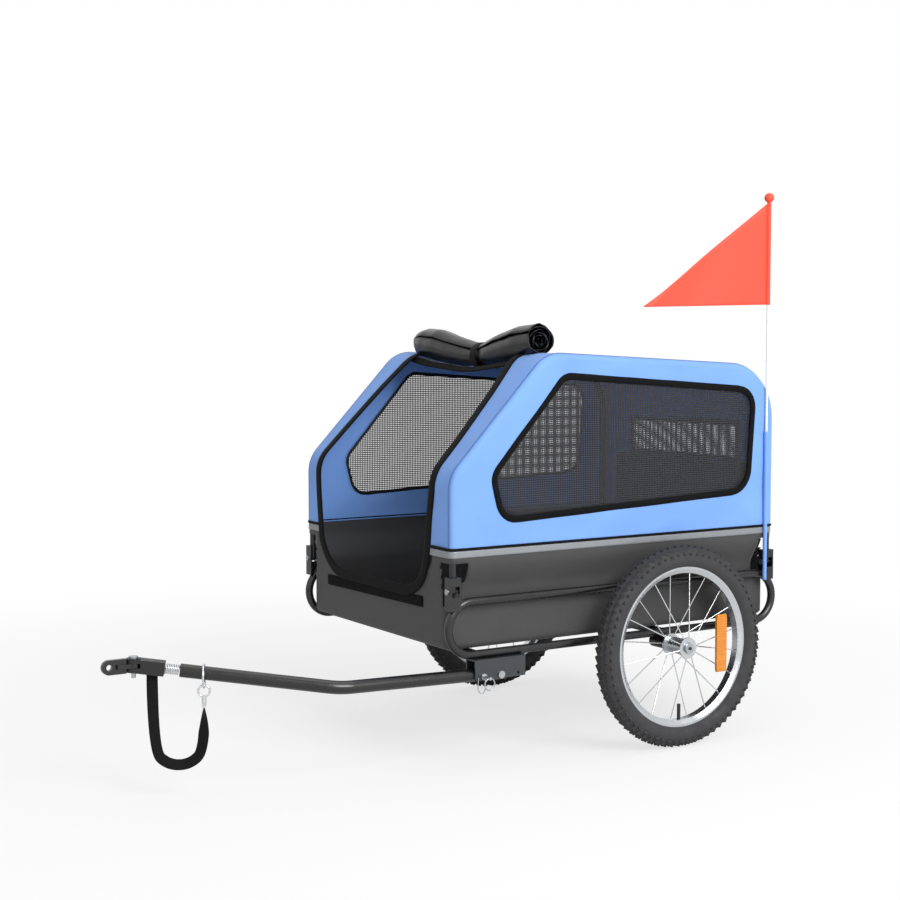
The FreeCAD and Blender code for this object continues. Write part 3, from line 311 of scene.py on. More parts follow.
def make_materials():
    c = colours()
    weave = sizes().weave
    made["cloth"] = woven("coated_polyester_blue", c.cloth, weave, 0.62, 0.20)
    made["tub"] = woven("coated_polyester_slate", c.tub, weave, 0.70, 0.10)
    made["binding"] = woven("polyester_binding", c.binding, weave * 0.8, 0.80, 0.03, shine=0.12)
    made["webbing"] = woven("polyester_webbing", c.binding, weave, 0.80, 0.04, 0.15, 0.6, 0.2)
    made["hook"] = woven("hook_tape", linear("#0B0B0C"), weave * 1.6, 0.92, 0.02, 0.3, 1.0, 0.1)
    made["flag"] = woven("ripstop_nylon", c.flag, weave * 1.5, 0.55, 0.10, 0.05, 0.2)
    made["net"] = netting("knitted_net", c.net, sizes().net_cell)
    made["cover"] = coated(
        "coated_cover_cloth", c.cover, 25.0, 0.25, 0.32, 0.006, Specular_IOR_Level=0.55
    )
    made["band"] = coated("glass_bead_tape", c.band, 60.0, 0.10, 0.42, 0.002, Metallic=0.25)
    made["paint"] = coated("black_powder_coat", c.paint, 40.0, 0.15, 0.28, 0.0015, Coat_Weight=0.2)
    made["bracket"] = coated("grey_powder_coat", c.bracket, 50.0, 0.15, 0.38, 0.0015, Metallic=0.35)
    made["zinc"] = coated("zinc_plate", linear("#AEB2B6"), 90.0, 0.12, 0.34, 0.002, Metallic=1.0)
    made["chrome"] = coated("chrome_plate", linear("#D6D8DA"), 60.0, 0.04, 0.12, 0.003, Metallic=1.0)
    made["alloy"] = coated("brushed_aluminium", linear("#C4C7CA"), 70.0, 0.06, 0.26, 0.002, Metallic=1.0)
    made["rubber"] = coated("moulded_rubber", c.rubber, 45.0, 0.18, 0.78, 0.0012)
    made["amber"] = coated(
        "amber_acrylic", c.amber, 120.0, 0.15, 0.16, 0.003, IOR=1.49, Coat_Weight=0.4
    )
    made["nylon"] = coated("moulded_nylon", linear("#18181A"), 60.0, 0.12, 0.48, 0.001)
    made["glass_fibre"] = coated("glass_fibre_rod", linear("#ECECE8"), 30.0, 0.03, 0.30, 0.002)
    # Seam cloth: the cabin cloth darkened to 45%, painted shade along the seam lines
    made["seam"] = woven("seam_cloth_painted_shade", tuple(0.45 * v for v in c.cloth[:3]), weave, 0.70, 0.10)
    made["orange"] = coated("moulded_vinyl", c.flag, 40.0, 0.05, 0.36, 0.001)


# Shapes
def unit(ways):
    """The same directions, each with length one."""
    return ways / np.linalg.norm(ways, axis=-1, keepdims=True)


def distances(line):
    """Distance along a line to each of its points."""
    return np.concatenate([[0], np.cumsum(np.linalg.norm(np.diff(line, axis=0), axis=1))])


def lookup(table, at):
    """Value between the entries of a table of places and values."""
    return float(np.interp(at, *np.transpose(table)))


def corner_ways(before, corner, after):
    """Directions from a corner to both neighbours and to the inside, and half its angle."""
    back, on = unit(before - corner), unit(after - corner)
    return back, on, unit(back + on), math.acos(float(np.clip(back @ on, -1, 1))) / 2


def evenly(line, step):
    """The same line with points at even distances."""
    line = np.asarray(line, float)
    run = distances(line)
    count = max(3, int(round(run[-1] / step)) + 1)
    spots = np.linspace(0, run[-1], count)
    return np.stack([np.interp(spots, run, line[:, k]) for k in range(line.shape[1])], axis=1)


def bent(points, radii, step=0.006):
    """Straight runs joined by arcs, in a plane, as points at even distances."""
    points = [np.array(p, float) for p in points]
    line = [points[0]]
    for a, b, c, radius in zip(points, points[1:], points[2:], radii):
        back, on, inside, half = corner_ways(a, b, c)
        centre = b + inside * radius / math.sin(half)
        first = b + back * radius / math.tan(half) - centre
        last = b + on * radius / math.tan(half) - centre
        turn = math.atan2(first[0] * last[1] - first[1] * last[0], first @ last)
        for share in np.linspace(0, 1, 17):
            s = math.sin(turn * share)
            k = math.cos(turn * share)
            line.append(centre + [first[0] * k - first[1] * s, first[0] * s + first[1] * k])
    line.append(points[-1])
    return evenly(line, step)


def outward(line):
    """Unit normals on the right of a line in the XZ plane."""
    along = unit(np.gradient(line, axis=0))
    return np.stack([along[:, 1], -along[:, 0]], axis=1)


def window_loop(inset):
    """Outline of a side window, moved inwards."""
    corners = [np.array(p) for p in WINDOW]
    moved = []
    for before, corner, after in zip(corners[-1:] + corners, corners, corners[1:] + corners[:1]):
        _, _, inside, half = corner_ways(before, corner, after)
        moved.append(corner + inside * inset / math.sin(half))
    start = (moved[-1] + moved[0]) / 2
    return bent([start] + moved + [start], [max(r - inset, r / 4) for r in WINDOW_RADII], 0.004)[:-1]


def angle_of(points):
    """Angles of points in the XZ plane, round the window's middle."""
    return np.arctan2(points[:, 1] - WINDOW_MIDDLE[1], points[:, 0] - WINDOW_MIDDLE[0])


def by_angle(loop, angles):
    """Points of a closed loop at the given angles round the window's middle."""
    own = angle_of(loop)
    order = np.argsort(own)
    return np.stack([
        np.interp(angles, own[order], loop[order, k], period=2 * math.pi) for k in (0, 1)
    ], axis=1)


def grid(name, rows, closed=False, keep=None, cap=False):
    """Mesh of quads over rows of points, with a UV map in metres."""
    rows = np.asarray(rows, float)
    count, wide = rows.shape[:2]
    middle = rows[count // 2]
    across = distances(middle)
    up = np.concatenate([[0], np.cumsum(np.linalg.norm(np.diff(rows, axis=0), axis=2).mean(axis=1))])
    mesh = bpy.data.meshes.new(name)
    faces = []
    spots = []
    for i in range(count - 1):
        for k in range(wide if closed else wide - 1):
            n = (k + 1) % wide
            corners = [(i, k), (i, n), (i + 1, n), (i + 1, k)]
            if keep is not None and not keep(sum(rows[c] for c in corners) / 4):
                continue
            faces.append([a * wide + b for a, b in corners])
            last = across[-1] + np.linalg.norm(middle[0] - middle[-1]) if n == 0 else across[n]
            spots += [(across[k], up[i]), (last, up[i]), (last, up[i + 1]), (across[k], up[i + 1])]
    if cap:
        faces.append(list(range(wide - 1, -1, -1)))
        spots += [tuple(rows[0][k][:2]) for k in range(wide - 1, -1, -1)]
    mesh.from_pydata([tuple(p) for p in rows.reshape(-1, 3)], [], faces)
    layer = mesh.uv_layers.new(name="flat")
    layer.data.foreach_set("uv", np.array(spots, np.float32).ravel())
    mesh.polygons.foreach_set("use_smooth", [True] * len(mesh.polygons))
    obj = link(name, mesh)
    tidy(obj)
    return obj


def link(name, data):
    """A new object in the scene."""
    obj = bpy.data.objects.new(name, data)
    bpy.context.scene.collection.objects.link(obj)
    return obj


def opened(obj):
    """The object's mesh, open for edits."""
    shape = bmesh.new()
    shape.from_mesh(obj.data)
    return shape


def write_back(shape, obj):
    """Turns the faces the same way and writes the edited mesh back."""
    bmesh.ops.recalc_face_normals(shape, faces=shape.faces)
    shape.to_mesh(obj.data)
    shape.free()


def tidy(obj):
    """Merges doubles, drops loose points and turns the faces the same way."""
    shape = opened(obj)
    bmesh.ops.remove_doubles(shape, verts=shape.verts, dist=1e-6)
    loose = [v for v in shape.verts if not v.link_faces]
    bmesh.ops.delete(shape, geom=loose, context="VERTS")
    write_back(shape, obj)


def evaluated(obj):
    """A new mesh of the object as its modifiers or its curve shape it."""
    graph = bpy.context.evaluated_depsgraph_get()
    return bpy.data.meshes.new_from_object(obj.evaluated_get(graph))


def bake(obj):
    """Turns the object with its modifiers into a plain mesh."""
    mesh = evaluated(obj)
    obj.modifiers.clear()
    obj.data = mesh
    return obj


def thicken(obj, thick):
    wall = obj.modifiers.new("wall", "SOLIDIFY")
    wall.thickness = thick
    wall.offset = 0
    return bake(obj)


def place(obj, body, slot, material, nodes=(), crumple=False):
    """Gives a piece its finish, its body and the nodes that it stands for."""
    obj.data.materials.clear()
    obj.data.materials.append(made[material])
    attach(obj, body)
    if nodes:
        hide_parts(*nodes)
    if crumple:
        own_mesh(obj)
    return obj


def bind(obj):
    """Makes a piece a black binding on the chassis body."""
    place(obj, "chassis", "black_cloth", "binding", (), True)


def cloth(obj, material, slot, flat, held, nodes=(), rests=(), thick=None, crumple=True, body="chassis"):
    """A sheet, given its thickness and its place. Its flat size is not used."""
    thicken(obj, thick or sizes().cloth_thick)
    place(obj, body, slot, material, nodes, crumple)
    return obj


def spline(name, points, kind):
    """A curve with one spline through these points."""
    curve = bpy.data.curves.new(name, "CURVE")
    curve.dimensions = "3D"
    line = curve.splines.new(kind)
    line.points.add(len(points) - 1)
    for spot, p in zip(line.points, points):
        spot.co = (*p, 1)
    return curve, line


def curve_mesh(name, curve):
    """The curve's shape as a mesh. The curve's own object is removed again."""
    obj = link(name, curve)
    mesh = evaluated(obj)
    bpy.data.objects.remove(obj)
    return mesh


def tube(name, points, radius):
    """Round bar along points, as a plain mesh."""
    curve, _ = spline(name, points, "POLY")
    curve.bevel_depth = radius
    curve.bevel_resolution = 2
    curve.use_fill_caps = True
    piece = link(name, curve_mesh(name, curve))
    tidy(piece)
    return piece


def route(points):
    """Points read from the smooth spline that has these control points."""
    curve, line = spline("route", points, "NURBS")
    line.order_u = 3
    line.use_endpoint_u = True
    line.resolution_u = 16
    mesh = curve_mesh("route", curve)
    spots = np.array([tuple(v.co) for v in mesh.vertices])
    bpy.data.meshes.remove(mesh)
    return spots


def bridge(obj, material, node):
    """Gives a piece its finish and the node it stands for."""
    obj.data.materials.clear()
    obj.data.materials.append(made[material])
    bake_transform(obj)
    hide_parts(node)


def sweep(name, points, normals, half, thick, crown=0.3):
    """Flat band with rounded edges along a line of points, lying square to the normals."""
    points = np.asarray(points, float)
    normals = np.asarray(normals, float)
    along = np.gradient(points, axis=0)
    across = unit(np.cross(normals, along))
    normals = unit(np.cross(along, across))
    ring = [
        (-1, 0.0), (-0.94, 0.5), (-0.5, 0.5 + crown / 2), (0, 0.5 + crown / 2), (0.5, 0.5 + crown / 2),
        (0.94, 0.5), (1, 0.0), (0.94, -0.5), (0, -0.5), (-0.94, -0.5),
    ]
    rows = [[p + a * half * s + n * thick * h for s, h in ring] for p, a, n in zip(points, across, normals)]
    obj = grid(name, rows, closed=True)
    shape = opened(obj)
    bmesh.ops.holes_fill(shape, edges=[e for e in shape.edges if e.is_boundary], sides=0)
    write_back(shape, obj)
    return obj


def row(x, y, z):
    return np.array([AXLE_X + x, y, z])


def ripple(p, scale, depth):
    return noise.noise(Vector(p) * scale) * depth


def arch_line():
    return bent(ARCH, ARCH_RADII)


def skin_line(out=0.0):
    """The arch's line, and the line of the cloth outside it."""
    arch = arch_line()
    return arch, arch + outward(arch) * (SKIN + out)


# Cabin cloth
def side_skin(side, sign):
    """One side of the cabin: a flat cloth round its window, which turns over the arch."""
    arch = arch_line()
    hem = np.linspace(arch[-1], arch[0], 120)[1:-1]
    edge = np.vstack([arch, hem])
    normal = np.vstack([outward(arch), np.tile([0.0, -1.0], (len(hem), 1))])
    over = np.concatenate([np.ones(len(arch)), np.full(len(hem), 0.3)])
    angles = angle_of(edge)
    inner = by_angle(window_loop(sizes().binding * 0.5), angles)
    rows = []
    for share in np.linspace(0, 1, 11):
        ring = inner + (edge - inner) * share
        loose = 4 * share * (1 - share)
        rows.append([
            row(x, sign * (LOOP_Y + SKIN + 0.0005 + loose * ripple((x, sign, z), 11.0, 0.0035)), z)
            for x, z in ring
        ])
    for turn in np.radians([25, 50, 72, 90]):
        ring = edge + normal * (SKIN * over * math.sin(turn))[:, None]
        y = LOOP_Y + SKIN - SKIN * over * (1 - math.cos(turn))
        rows.append([row(x, sign * b, z) for (x, z), b in zip(ring, y)])
    obj = grid(f"{side}_side_cloth", rows, closed=True)
    cloth(obj, "cloth", "blue_cloth", (0.80, 0.37), "stretched", [f"{side}_side_panel"], [f"{side}_arch"])


def roof_height(x):
    return 0.742 + 0.028 / 0.563 * (x - REAR_POST) + SKIN


def roof_sag(x):
    share = (x - ROOF_REAR) / (ROOF_FRONT - ROOF_REAR)
    return 0.010 + 0.024 * share ** 2


def roof_dip(y):
    """Share of the roof's sag at y: all of it in the middle, none near the arches."""
    return max(0.0, 1 - (y / ROOF_HALF) ** 2)


def roof_point(x, y, lower=0.0):
    dip = roof_dip(y)
    wave = ripple((x, y, 0), 9.0, 0.004) * dip
    return row(x, y, roof_height(x) - roof_sag(x) * dip + wave - lower)


def roof_cloth():
    rows = []
    for x in np.linspace(ROOF_REAR, ROOF_FRONT, 40):
        half = LOOP_Y if x < PILLAR_END else 0.226
        rows.append([roof_point(x, y, LAP) for y in np.linspace(-half, half, 60)])
    obj = grid("roof_cloth", rows)
    cloth(obj, "cloth", "blue_cloth", (0.47, 0.56), "stretched", ["roof_panel"], ["left_arch", "right_arch"])


def rear_line():
    arch, skin = skin_line()
    half = skin[(arch[:, 0] < ROOF_REAR + 0.004)]
    straight = half[half[:, 0] < REAR_STRAIGHT]
    _, foot, top = REAR_WINDOW
    heights = np.concatenate([
        np.linspace(WAIST, foot, 12)[:-1], np.linspace(foot, top, 9)[:-1], [top],
    ])
    x = straight[-1][0]
    bend = [p for p in half[::-1] if p[1] > top + 0.003]
    return np.vstack([[(x, z) for z in heights], bend])


def rear_cloth():
    half, foot, top = REAR_WINDOW
    columns = np.concatenate([
        np.linspace(-LOOP_Y, -half, 10)[:-1], np.linspace(-half, half, 32), np.linspace(half, LOOP_Y, 10)[1:],
    ])
    rows = []
    for x, z in rear_line():
        calm = 0.0 if z > 0.64 else 1.0
        rows.append([
            row(x + calm * ripple((0, y, z), 10.0, 0.003) * (1 - (y / LOOP_Y) ** 2), y, z) for y in columns
        ])
    obj = grid(
        "rear_cloth", rows,
        keep=lambda p: not (abs(p[1]) < half and foot < p[2] < top and p[0] < AXLE_X - 0.27),
    )
    cloth(obj, "cloth", "blue_cloth", (0.56, 0.48), "stretched", ["rear_panel"], ["left_arch", "right_arch"])
    net = grid("rear_net", [
        [row(REAR_NET_X, y, z) for y in np.linspace(-half - 0.006, half + 0.006, 40)]
        for z in np.linspace(foot - 0.006, top + 0.006, 12)
    ])
    cloth(
        net, "net", "net", (0.372, 0.092), "stretched", ["rear_window_mesh"], ["rear_cloth"], 0.0006,
    )
    border = bent([
        (0, foot), (half, foot), (half, top), (-half, top), (-half, foot), (0, foot),
    ], [0.014] * 4, 0.006)
    spots = [row(REAR_BINDING_X, y, z) for y, z in border]
    band = sweep("rear_window_binding", spots, [(-1, 0, 0)] * len(spots), 0.007, 0.0016)
    bind(band)
    flap = grid("rear_flap", [
        [
            row(REAR_FLAP_X + 0.004 * math.sin(3 * y / half) * (0.6 - z), y, z)
            for y in np.linspace(-0.225, 0.225, 30)
        ]
        for z in np.linspace(0.430, 0.545, 12)
    ])
    cloth(flap, "tub", "black_cloth", (0.45, 0.115), "hung", (), ["rear_cloth"])


EDGE_NEAR = [(0.419, 0.206), (0.480, 0.213), (0.518, 0.221), (0.550, 0.222), (0.62, 0.218), (0.70, 0.207),
             (0.755, 0.192), (0.790, 0.182)]
EDGE_FAR = [(0.419, 0.222), (0.483, 0.230), (0.518, 0.232), (0.550, 0.232), (0.62, 0.226), (0.70, 0.215),
            (0.755, 0.200), (0.790, 0.190)]


def doorway_edge(sign, z):
    return lookup(EDGE_NEAR if sign > 0 else EDGE_FAR, z)


def pillar_line():
    arch, skin = skin_line(LAP)
    return skin[(arch[:, 0] > PILLAR_END)]


def pillar_cloth():
    line = pillar_line()
    for side, sign in SIDES:
        rows = []
        for x, z in line:
            inner = doorway_edge(sign, z)
            calm = [1 - abs(2 * s - 1) for s in np.linspace(0, 1, 12)]
            rows.append([
                row(x + c * ripple((0, sign * y, z), 14.0, 0.0025), sign * y, z)
                for y, c in zip(np.linspace(LOOP_Y, inner, 12), calm)
            ])
        obj = grid(f"{side}_pillar_cloth", rows)
        nodes = ["front_panel"] if sign > 0 else []
        cloth(obj, "cloth", "blue_cloth", (0.48, 0.085), "stretched", nodes, [f"{side}_arch"])


def plan(half, front, rear, corner):
    """Points round the tub, from the front's middle to the left and on round."""
    line = [(front, 0.0)]
    runs = [
        ((front, half - corner), (front - corner, half - corner), 0, 34),
        ((-rear + corner, half), (-rear + corner, half - corner), 90, 96),
        ((-rear, -half + corner), (-rear + corner, -half + corner), 180, 60),
        ((front - corner, -half), (front - corner, -half + corner), 270, 96),
    ]
    for target, centre, start, count in runs:
        begin = np.array(line[-1])
        for share in np.linspace(0, 1, count + 1)[1:]:
            line.append(tuple(begin + (np.array(target) - begin) * share))
        for turn in np.radians(np.linspace(start, start + 90, 7)[1:]):
            line.append((centre[0] + corner * math.cos(turn), centre[1] + corner * math.sin(turn)))
    begin = np.array(line[-1])
    for share in np.linspace(0, 1, 35)[1:-1]:
        line.append(tuple(begin + (np.array((front, 0.0)) - begin) * share))
    return np.array(line)


def flare(z):
    share = min(1.0, max(0.0, (z - FLARE_FOOT) / FLARE_HEIGHT))
    return share * share * (3 - 2 * share)


def tub_plan(z, out=0.0):
    f = flare(z)
    return plan(*(base + grow * f + out for base, grow in TUB_SIZES), TUB_CORNER)


def door_sill(y):
    """Height of the doorway's lower edge at y."""
    flat, reach = (0.115, 0.091) if y > 0 else (0.130, 0.092)
    share = (abs(y) - flat) / reach
    if share <= 0:
        return SILL
    if share >= 1:
        return WAIST
    return SILL + (WAIST - SILL) * (1 - math.sqrt(1 - share * share))


def tub_top(x, y):
    return door_sill(y) if x > FRONT_WALL else WAIST


def clear_of_brackets(p):
    """False where the cloth is cut away at a corner bracket."""
    x = p[0] - AXLE_X
    near = min(abs(x - FRONT_POST), abs(x - REAR_POST)) < BRACKET_REACH
    low, high = BRACKET_HEIGHTS
    return not (near and abs(p[1]) > BRACKET_INSIDE and low < p[2] < high)


def tub_cloth():
    base = tub_plan(TUB_FOOT)
    rows = []
    for inset, z in ((0.012, TUB_FOOT), (0.0045, TUB_FOOT + 0.0025), (0.001, TUB_FOOT + 0.007)):
        rows.append([row(x, y, z) for x, y in tub_plan(z, -inset)])
    tops = [tub_top(x, y) for x, y in base]
    plans = {}
    for share in np.linspace(0, 1, 29):
        ring = []
        for k, top in enumerate(tops):
            z = 0.241 + (top - 0.241) * share
            key = round(z, 4)
            if key not in plans:
                plans[key] = tub_plan(z)
            x, y = plans[key][k]
            sink = 0.0015 + ripple((x, y, z), 16.0, 0.0022)
            side = abs(y) > 0.25
            y -= math.copysign(sink, y) * (1 - flare(z)) if side else 0
            ring.append(row(x, y, z))
        rows.append(ring)
    obj = grid("tub_cloth", rows, closed=True, keep=clear_of_brackets, cap=True)
    cloth(
        obj, "tub", "black_cloth", (1.16, 0.92), "stretched", ["tub"],
        ["left_side_loop", "right_side_loop", "cross_tubes"], None, False,
    )


class TRAILER_OT_cabin(bpy.types.Operator):
    """Make the cabin's cloth: tub, sides, roof, rear wall and front pillars"""

    bl_idname = "trailer.cabin"
    bl_label = "Cabin cloth"

    def execute(self, context):
        for side, sign in SIDES:
            side_skin(side, sign)
        roof_cloth()
        rear_cloth()
        pillar_cloth()
        tub_cloth()
        return {"FINISHED"}


# Windows and trim
def side_window(side, sign):
    width = sizes().binding
    angles = np.linspace(-math.pi, math.pi, 241)[:-1]
    outside = LOOP_Y + SKIN
    loops = [
        (-0.0005, 0.0006), (0.0008, 0.0022), (width * 0.5, 0.0026), (width - 0.0008, 0.0022), (width, 0.0004),
    ]
    rows = [
        [row(x, sign * (outside + out), z) for x, z in by_angle(window_loop(inset), angles)]
        for inset, out in loops
    ]
    band = grid(f"{side}_window_binding", rows, closed=True)
    bind(thicken(band, 0.0008))
    edge = by_angle(window_loop(width * 0.5), angles)
    rows = []
    for share in np.linspace(0.02, 1, 14):
        ring = WINDOW_MIDDLE + (edge - WINDOW_MIDDLE) * share
        rows.append([row(x, sign * (outside - 0.0016), z) for x, z in ring])
    net = grid(f"{side}_net", rows, closed=True, cap=True)
    flat_uv(net, 0, 2)
    cloth(
        net, "net", "net", (0.66, 0.27), "stretched", [f"{side}_window_mesh"],
        [f"{side}_side_cloth"], 0.0006,
    )


def flat_uv(obj, first, second):
    """Lays the UV map straight along two axes, in metres."""
    mesh = obj.data
    layer = mesh.uv_layers.active
    for loop in mesh.loops:
        co = mesh.vertices[loop.vertex_index].co
        layer.data[loop.index].uv = (co[first], co[second])


def doorway_trim():
    """Binding that runs down one side of the doorway, along its sill and up the other side."""
    line = pillar_line()
    normals = outward(line)
    spots = []
    ways = []
    for (x, z), n in reversed(list(zip(line, normals))):
        spots.append(row(x, doorway_edge(1, z), z))
        ways.append((n[0], 0, n[1]))
    for y in np.linspace(0.205, -0.221, 90):
        z = door_sill(y)
        spots.append(row(0.5045 - 0.0035 * (1 - flare(z)), y, z))
        ways.append((1, 0, 0))
    for (x, z), n in zip(line, normals):
        spots.append(row(x, -doorway_edge(-1, z), z))
        ways.append((n[0], 0, n[1]))
    fine = evenly(np.hstack([np.array(spots), np.array(ways)]), 0.006)
    for _ in range(6):
        fine[1:-1] = (fine[:-2] + 2 * fine[1:-1] + fine[2:]) / 4
    fine[:, :3] += fine[:, 3:] * 0.0012
    band = sweep("doorway_trim", fine[:, :3], fine[:, 3:], sizes().trim / 2, 0.0026)
    bind(band)


def roof_hem():
    """Binding on the roof's loose front edge, under the rolled cover."""
    spots = [roof_point(ROOF_FRONT, y) for y in np.linspace(-0.212, 0.204, 70)]
    band = sweep("roof_hem", spots, [(0.6, 0, 0.8)] * len(spots), 0.008, 0.0030)
    bind(band)


def clear_of_doorway(p):
    """False where the waist band would cross the doorway."""
    return not (p[0] > AXLE_X + FRONT_WALL and door_sill(p[1]) < WAIST - 0.001)


def waist_trim():
    """Reflective band under the waist, and the piping above it."""
    rows = []
    for z in np.linspace(WAIST - 0.0025, WAIST - 0.0025 - sizes().band, 5):
        rows.append([row(x, y, z) for x, y in tub_plan(z, 0.0012)])
    band = grid("waist_band", rows, closed=True, keep=clear_of_doorway)
    place(thicken(band, 0.0008), "chassis", "black_cloth", "band")
    ring = tub_plan(WAIST, 0.0014)
    start = next(i for i, (x, y) in enumerate(ring) if y > 0.206)
    stop = max(i for i, (x, y) in enumerate(ring) if y < -0.222)
    line = [row(x, y, WAIST + 0.0004) for x, y in ring[start:stop + 1]]
    place(tube("waist_piping", line, 0.0024), "chassis", "black_cloth", "binding")


def arch_seams():
    """Raised seams where the side cloth meets the roof, rear and pillar cloth. The seams are real; their
    colour, the cabin cloth darkened, is painted shade.
    """
    _, skin = skin_line(LAP)
    for side, sign in SIDES:
        line = [row(x, sign * (LOOP_Y - 0.0005), z) for x, z in skin]
        place(tube(f"{side}_arch_seam", line, 0.0013), "chassis", "blue_cloth", "seam", (), True)


def hook_tape():
    """Hook tape on the front wall, which holds the cover shut."""
    spots = [row(0.5012, y, 0.3085 + 0.012 * y) for y in np.linspace(0.182, -0.198, 70)]
    band = sweep("hook_tape", spots, [(1, 0, 0)] * len(spots), 0.0105, 0.0020)
    place(band, "chassis", "black_cloth", "hook")


class TRAILER_OT_windows(bpy.types.Operator):
    """Make the window nets, bindings, doorway trim, waist band and seams"""

    bl_idname = "trailer.windows"
    bl_label = "Windows and trim"

    def execute(self, context):
        for side, sign in SIDES:
            side_window(side, sign)
        doorway_trim()
        roof_hem()
        waist_trim()
        arch_seams()
        hook_tape()
        return {"FINISHED"}


# Rolled cover
ROLL = [(-0.214, 0.027), (-0.185, 0.033), (-0.131, 0.036), (-0.060, 0.031), (0.025, 0.024), (0.090, 0.032),
        (0.160, 0.036), (0.222, 0.033)]
ROLL_X = 0.262


def roll_middle(y, radius):
    return roof_height(ROLL_X) - roof_sag(ROLL_X) * roof_dip(y) + radius + 0.0012


def roll_radius(y):
    return lookup(ROLL, y)


def rolled_cover():
    """The cover as one sheet wound on itself, drawn in where its tie holds it."""
    turns = sizes().roll_turns
    steps = int(30 * turns)
    rows = []
    run = 0.0
    for y in np.linspace(-0.214, 0.222, 80):
        radius = roll_radius(y)
        z = roll_middle(y, radius)
        line = []
        for k in range(steps + 1):
            share = k / steps
            angle = -2 * math.pi * turns * share + 0.6
            r = radius * (0.16 + 0.84 * share)
            crease = ripple((3 * y, share * 2, math.cos(angle)), 9.0, 0.0018)
            r = min(radius, r + crease * share)
            slip = 0.004 * math.sin(2.4 * angle)
            line.append(row(ROLL_X + r * math.cos(angle), y + slip, z + r * math.sin(angle)))
        run += sum(np.linalg.norm(b - a) for a, b in zip(line, line[1:])) / 80
        rows.append(line)
    obj = grid("rolled_cover", rows)
    flat = (0.44, round(run, 3))
    cloth(obj, "cover", "coated_cloth", flat, "folded", ["rolled_front_cover"], ["roof_cloth"])
    y = 0.025
    radius = roll_radius(y) + 0.0022
    middle = roll_middle(y, radius - 0.0022)
    turns = np.linspace(0, 2 * math.pi, 49)
    ring = [row(ROLL_X + radius * math.cos(t), y, middle + radius * math.sin(t)) for t in turns]
    ways = [(math.cos(t), 0, math.sin(t)) for t in turns]
    place(sweep("cover_tie", ring, ways, 0.011, 0.0016), "chassis", "webbing", "webbing", (), True)


class TRAILER_OT_cover(bpy.types.Operator):
    """Make the rolled front cover and its tie"""

    bl_idname = "trailer.cover"
    bl_label = "Rolled cover"

    def execute(self, context):
        rolled_cover()
        return {"FINISHED"}


# Wheels
def lathe(name, profile, y):
    """Ring turned about the wheel axle: each point is a radius and a place along Y."""
    angles = np.linspace(0, 2 * math.pi, 144, endpoint=False)
    rows = [
        [(AXLE_X + r * math.cos(t), y + b, AXLE_Z + r * math.sin(t)) for t in angles] for r, b in profile
    ]
    return grid(name, rows + rows[:1], closed=True)


def tread_tree(rows, count, material):
    """Node tree that sets rows of blocks round the tyre: radius, offset, size and tilt of each row."""
    tree = bpy.data.node_groups.new("tread", "GeometryNodeTree")
    tree.interface.new_socket("Geometry", in_out="OUTPUT", socket_type="NodeSocketGeometry")
    blocks = tree.interface.new_socket("Blocks", in_out="INPUT", socket_type="NodeSocketInt")
    blocks.default_value = count
    inputs = add(tree, "NodeGroupInput")
    join = add(tree, "GeometryNodeJoinGeometry")
    for radius, offset, size, tilt, phase in rows:
        circle = add(tree, "GeometryNodeCurvePrimitiveCircle", None, Resolution=256, Radius=radius)
        spots = add(tree, "GeometryNodeCurveToPoints", None, Curve=circle.outputs[0], Count=inputs.outputs[0])
        block = add(tree, "GeometryNodeMeshCube", None, Size=size)
        turned = add(tree, "GeometryNodeTransform", None, Geometry=block.outputs[0], Rotation=tilt)
        stand = add(
            tree, "GeometryNodeInstanceOnPoints", None,
            Points=spots.outputs["Points"], Instance=turned.outputs[0], Rotation=spots.outputs["Rotation"],
        )
        shift = add(
            tree, "GeometryNodeTransform", None, Geometry=stand.outputs[0],
            Translation=(0, 0, offset), Rotation=(0, 0, phase),
        )
        tree.links.new(shift.outputs[0], join.inputs[0])
    upright = add(
        tree, "GeometryNodeTransform", None, Geometry=join.outputs[0], Rotation=(math.pi / 2, 0, 0)
    )
    real = add(tree, "GeometryNodeRealizeInstances", None, Geometry=upright.outputs[0])
    dress = add(tree, "GeometryNodeSetMaterial", None, Geometry=real.outputs[0], Material=material)
    last = add(tree, "NodeGroupOutput")
    tree.links.new(dress.outputs[0], last.inputs[0])
    return tree, blocks.identifier


def tyre(side, sign):
    y = sign * HALF_TRACK
    centre = TYRE_OUTER - TYRE_SECTION
    profile = []
    for turn in np.radians(np.linspace(-148, 148, 49)):
        rib = 0.0006 if 60 < abs(math.degrees(turn)) < 66 or 104 < abs(math.degrees(turn)) < 109 else 0
        radius = TYRE_SECTION + rib
        profile.append((centre + radius * math.cos(turn), radius * math.sin(turn)))
    profile += [(0.1601, 0.0112), (0.1601, -0.0112)]
    body = lathe(f"{side}_tyre_casing", profile, y)
    place(body, f"{side}_wheel", "tyre", "rubber", [f"{side}_tyre"])
    pitch = 2 * math.pi / sizes().knobs
    lean = math.radians(18)
    pairs = [
        (0.1960, 0.0032, (0.0046, 0.0052, 0.0150), (0, lean, 0), (0.0, pitch / 2)),
        (0.1922, 0.0118, (0.0060, 0.0066, 0.0142), (0.55, 0, 0), (pitch / 2, 0.0)),
        (0.1852, 0.0178, (0.0034, 0.0052, 0.0130), (0.95, 0, 0), (0.0, pitch / 2)),
    ]
    rows = [
        (radius, way * offset, size, [way * angle for angle in tilt], phase)
        for radius, offset, size, tilt, phases in pairs
        for way, phase in zip((1, -1), phases)
    ]
    tree, blocks = tread_tree(rows, sizes().knobs, made["rubber"])
    obj = link(f"{side}_tread", bpy.data.meshes.new(f"{side}_tread"))
    modifier = obj.modifiers.new("tread", "NODES")
    modifier.node_group = tree
    modifier[blocks] = sizes().knobs
    bake(obj)
    for vertex in obj.data.vertices:
        vertex.co += Vector((AXLE_X, y, AXLE_Z))
    place(obj, f"{side}_wheel", "tyre", "rubber")


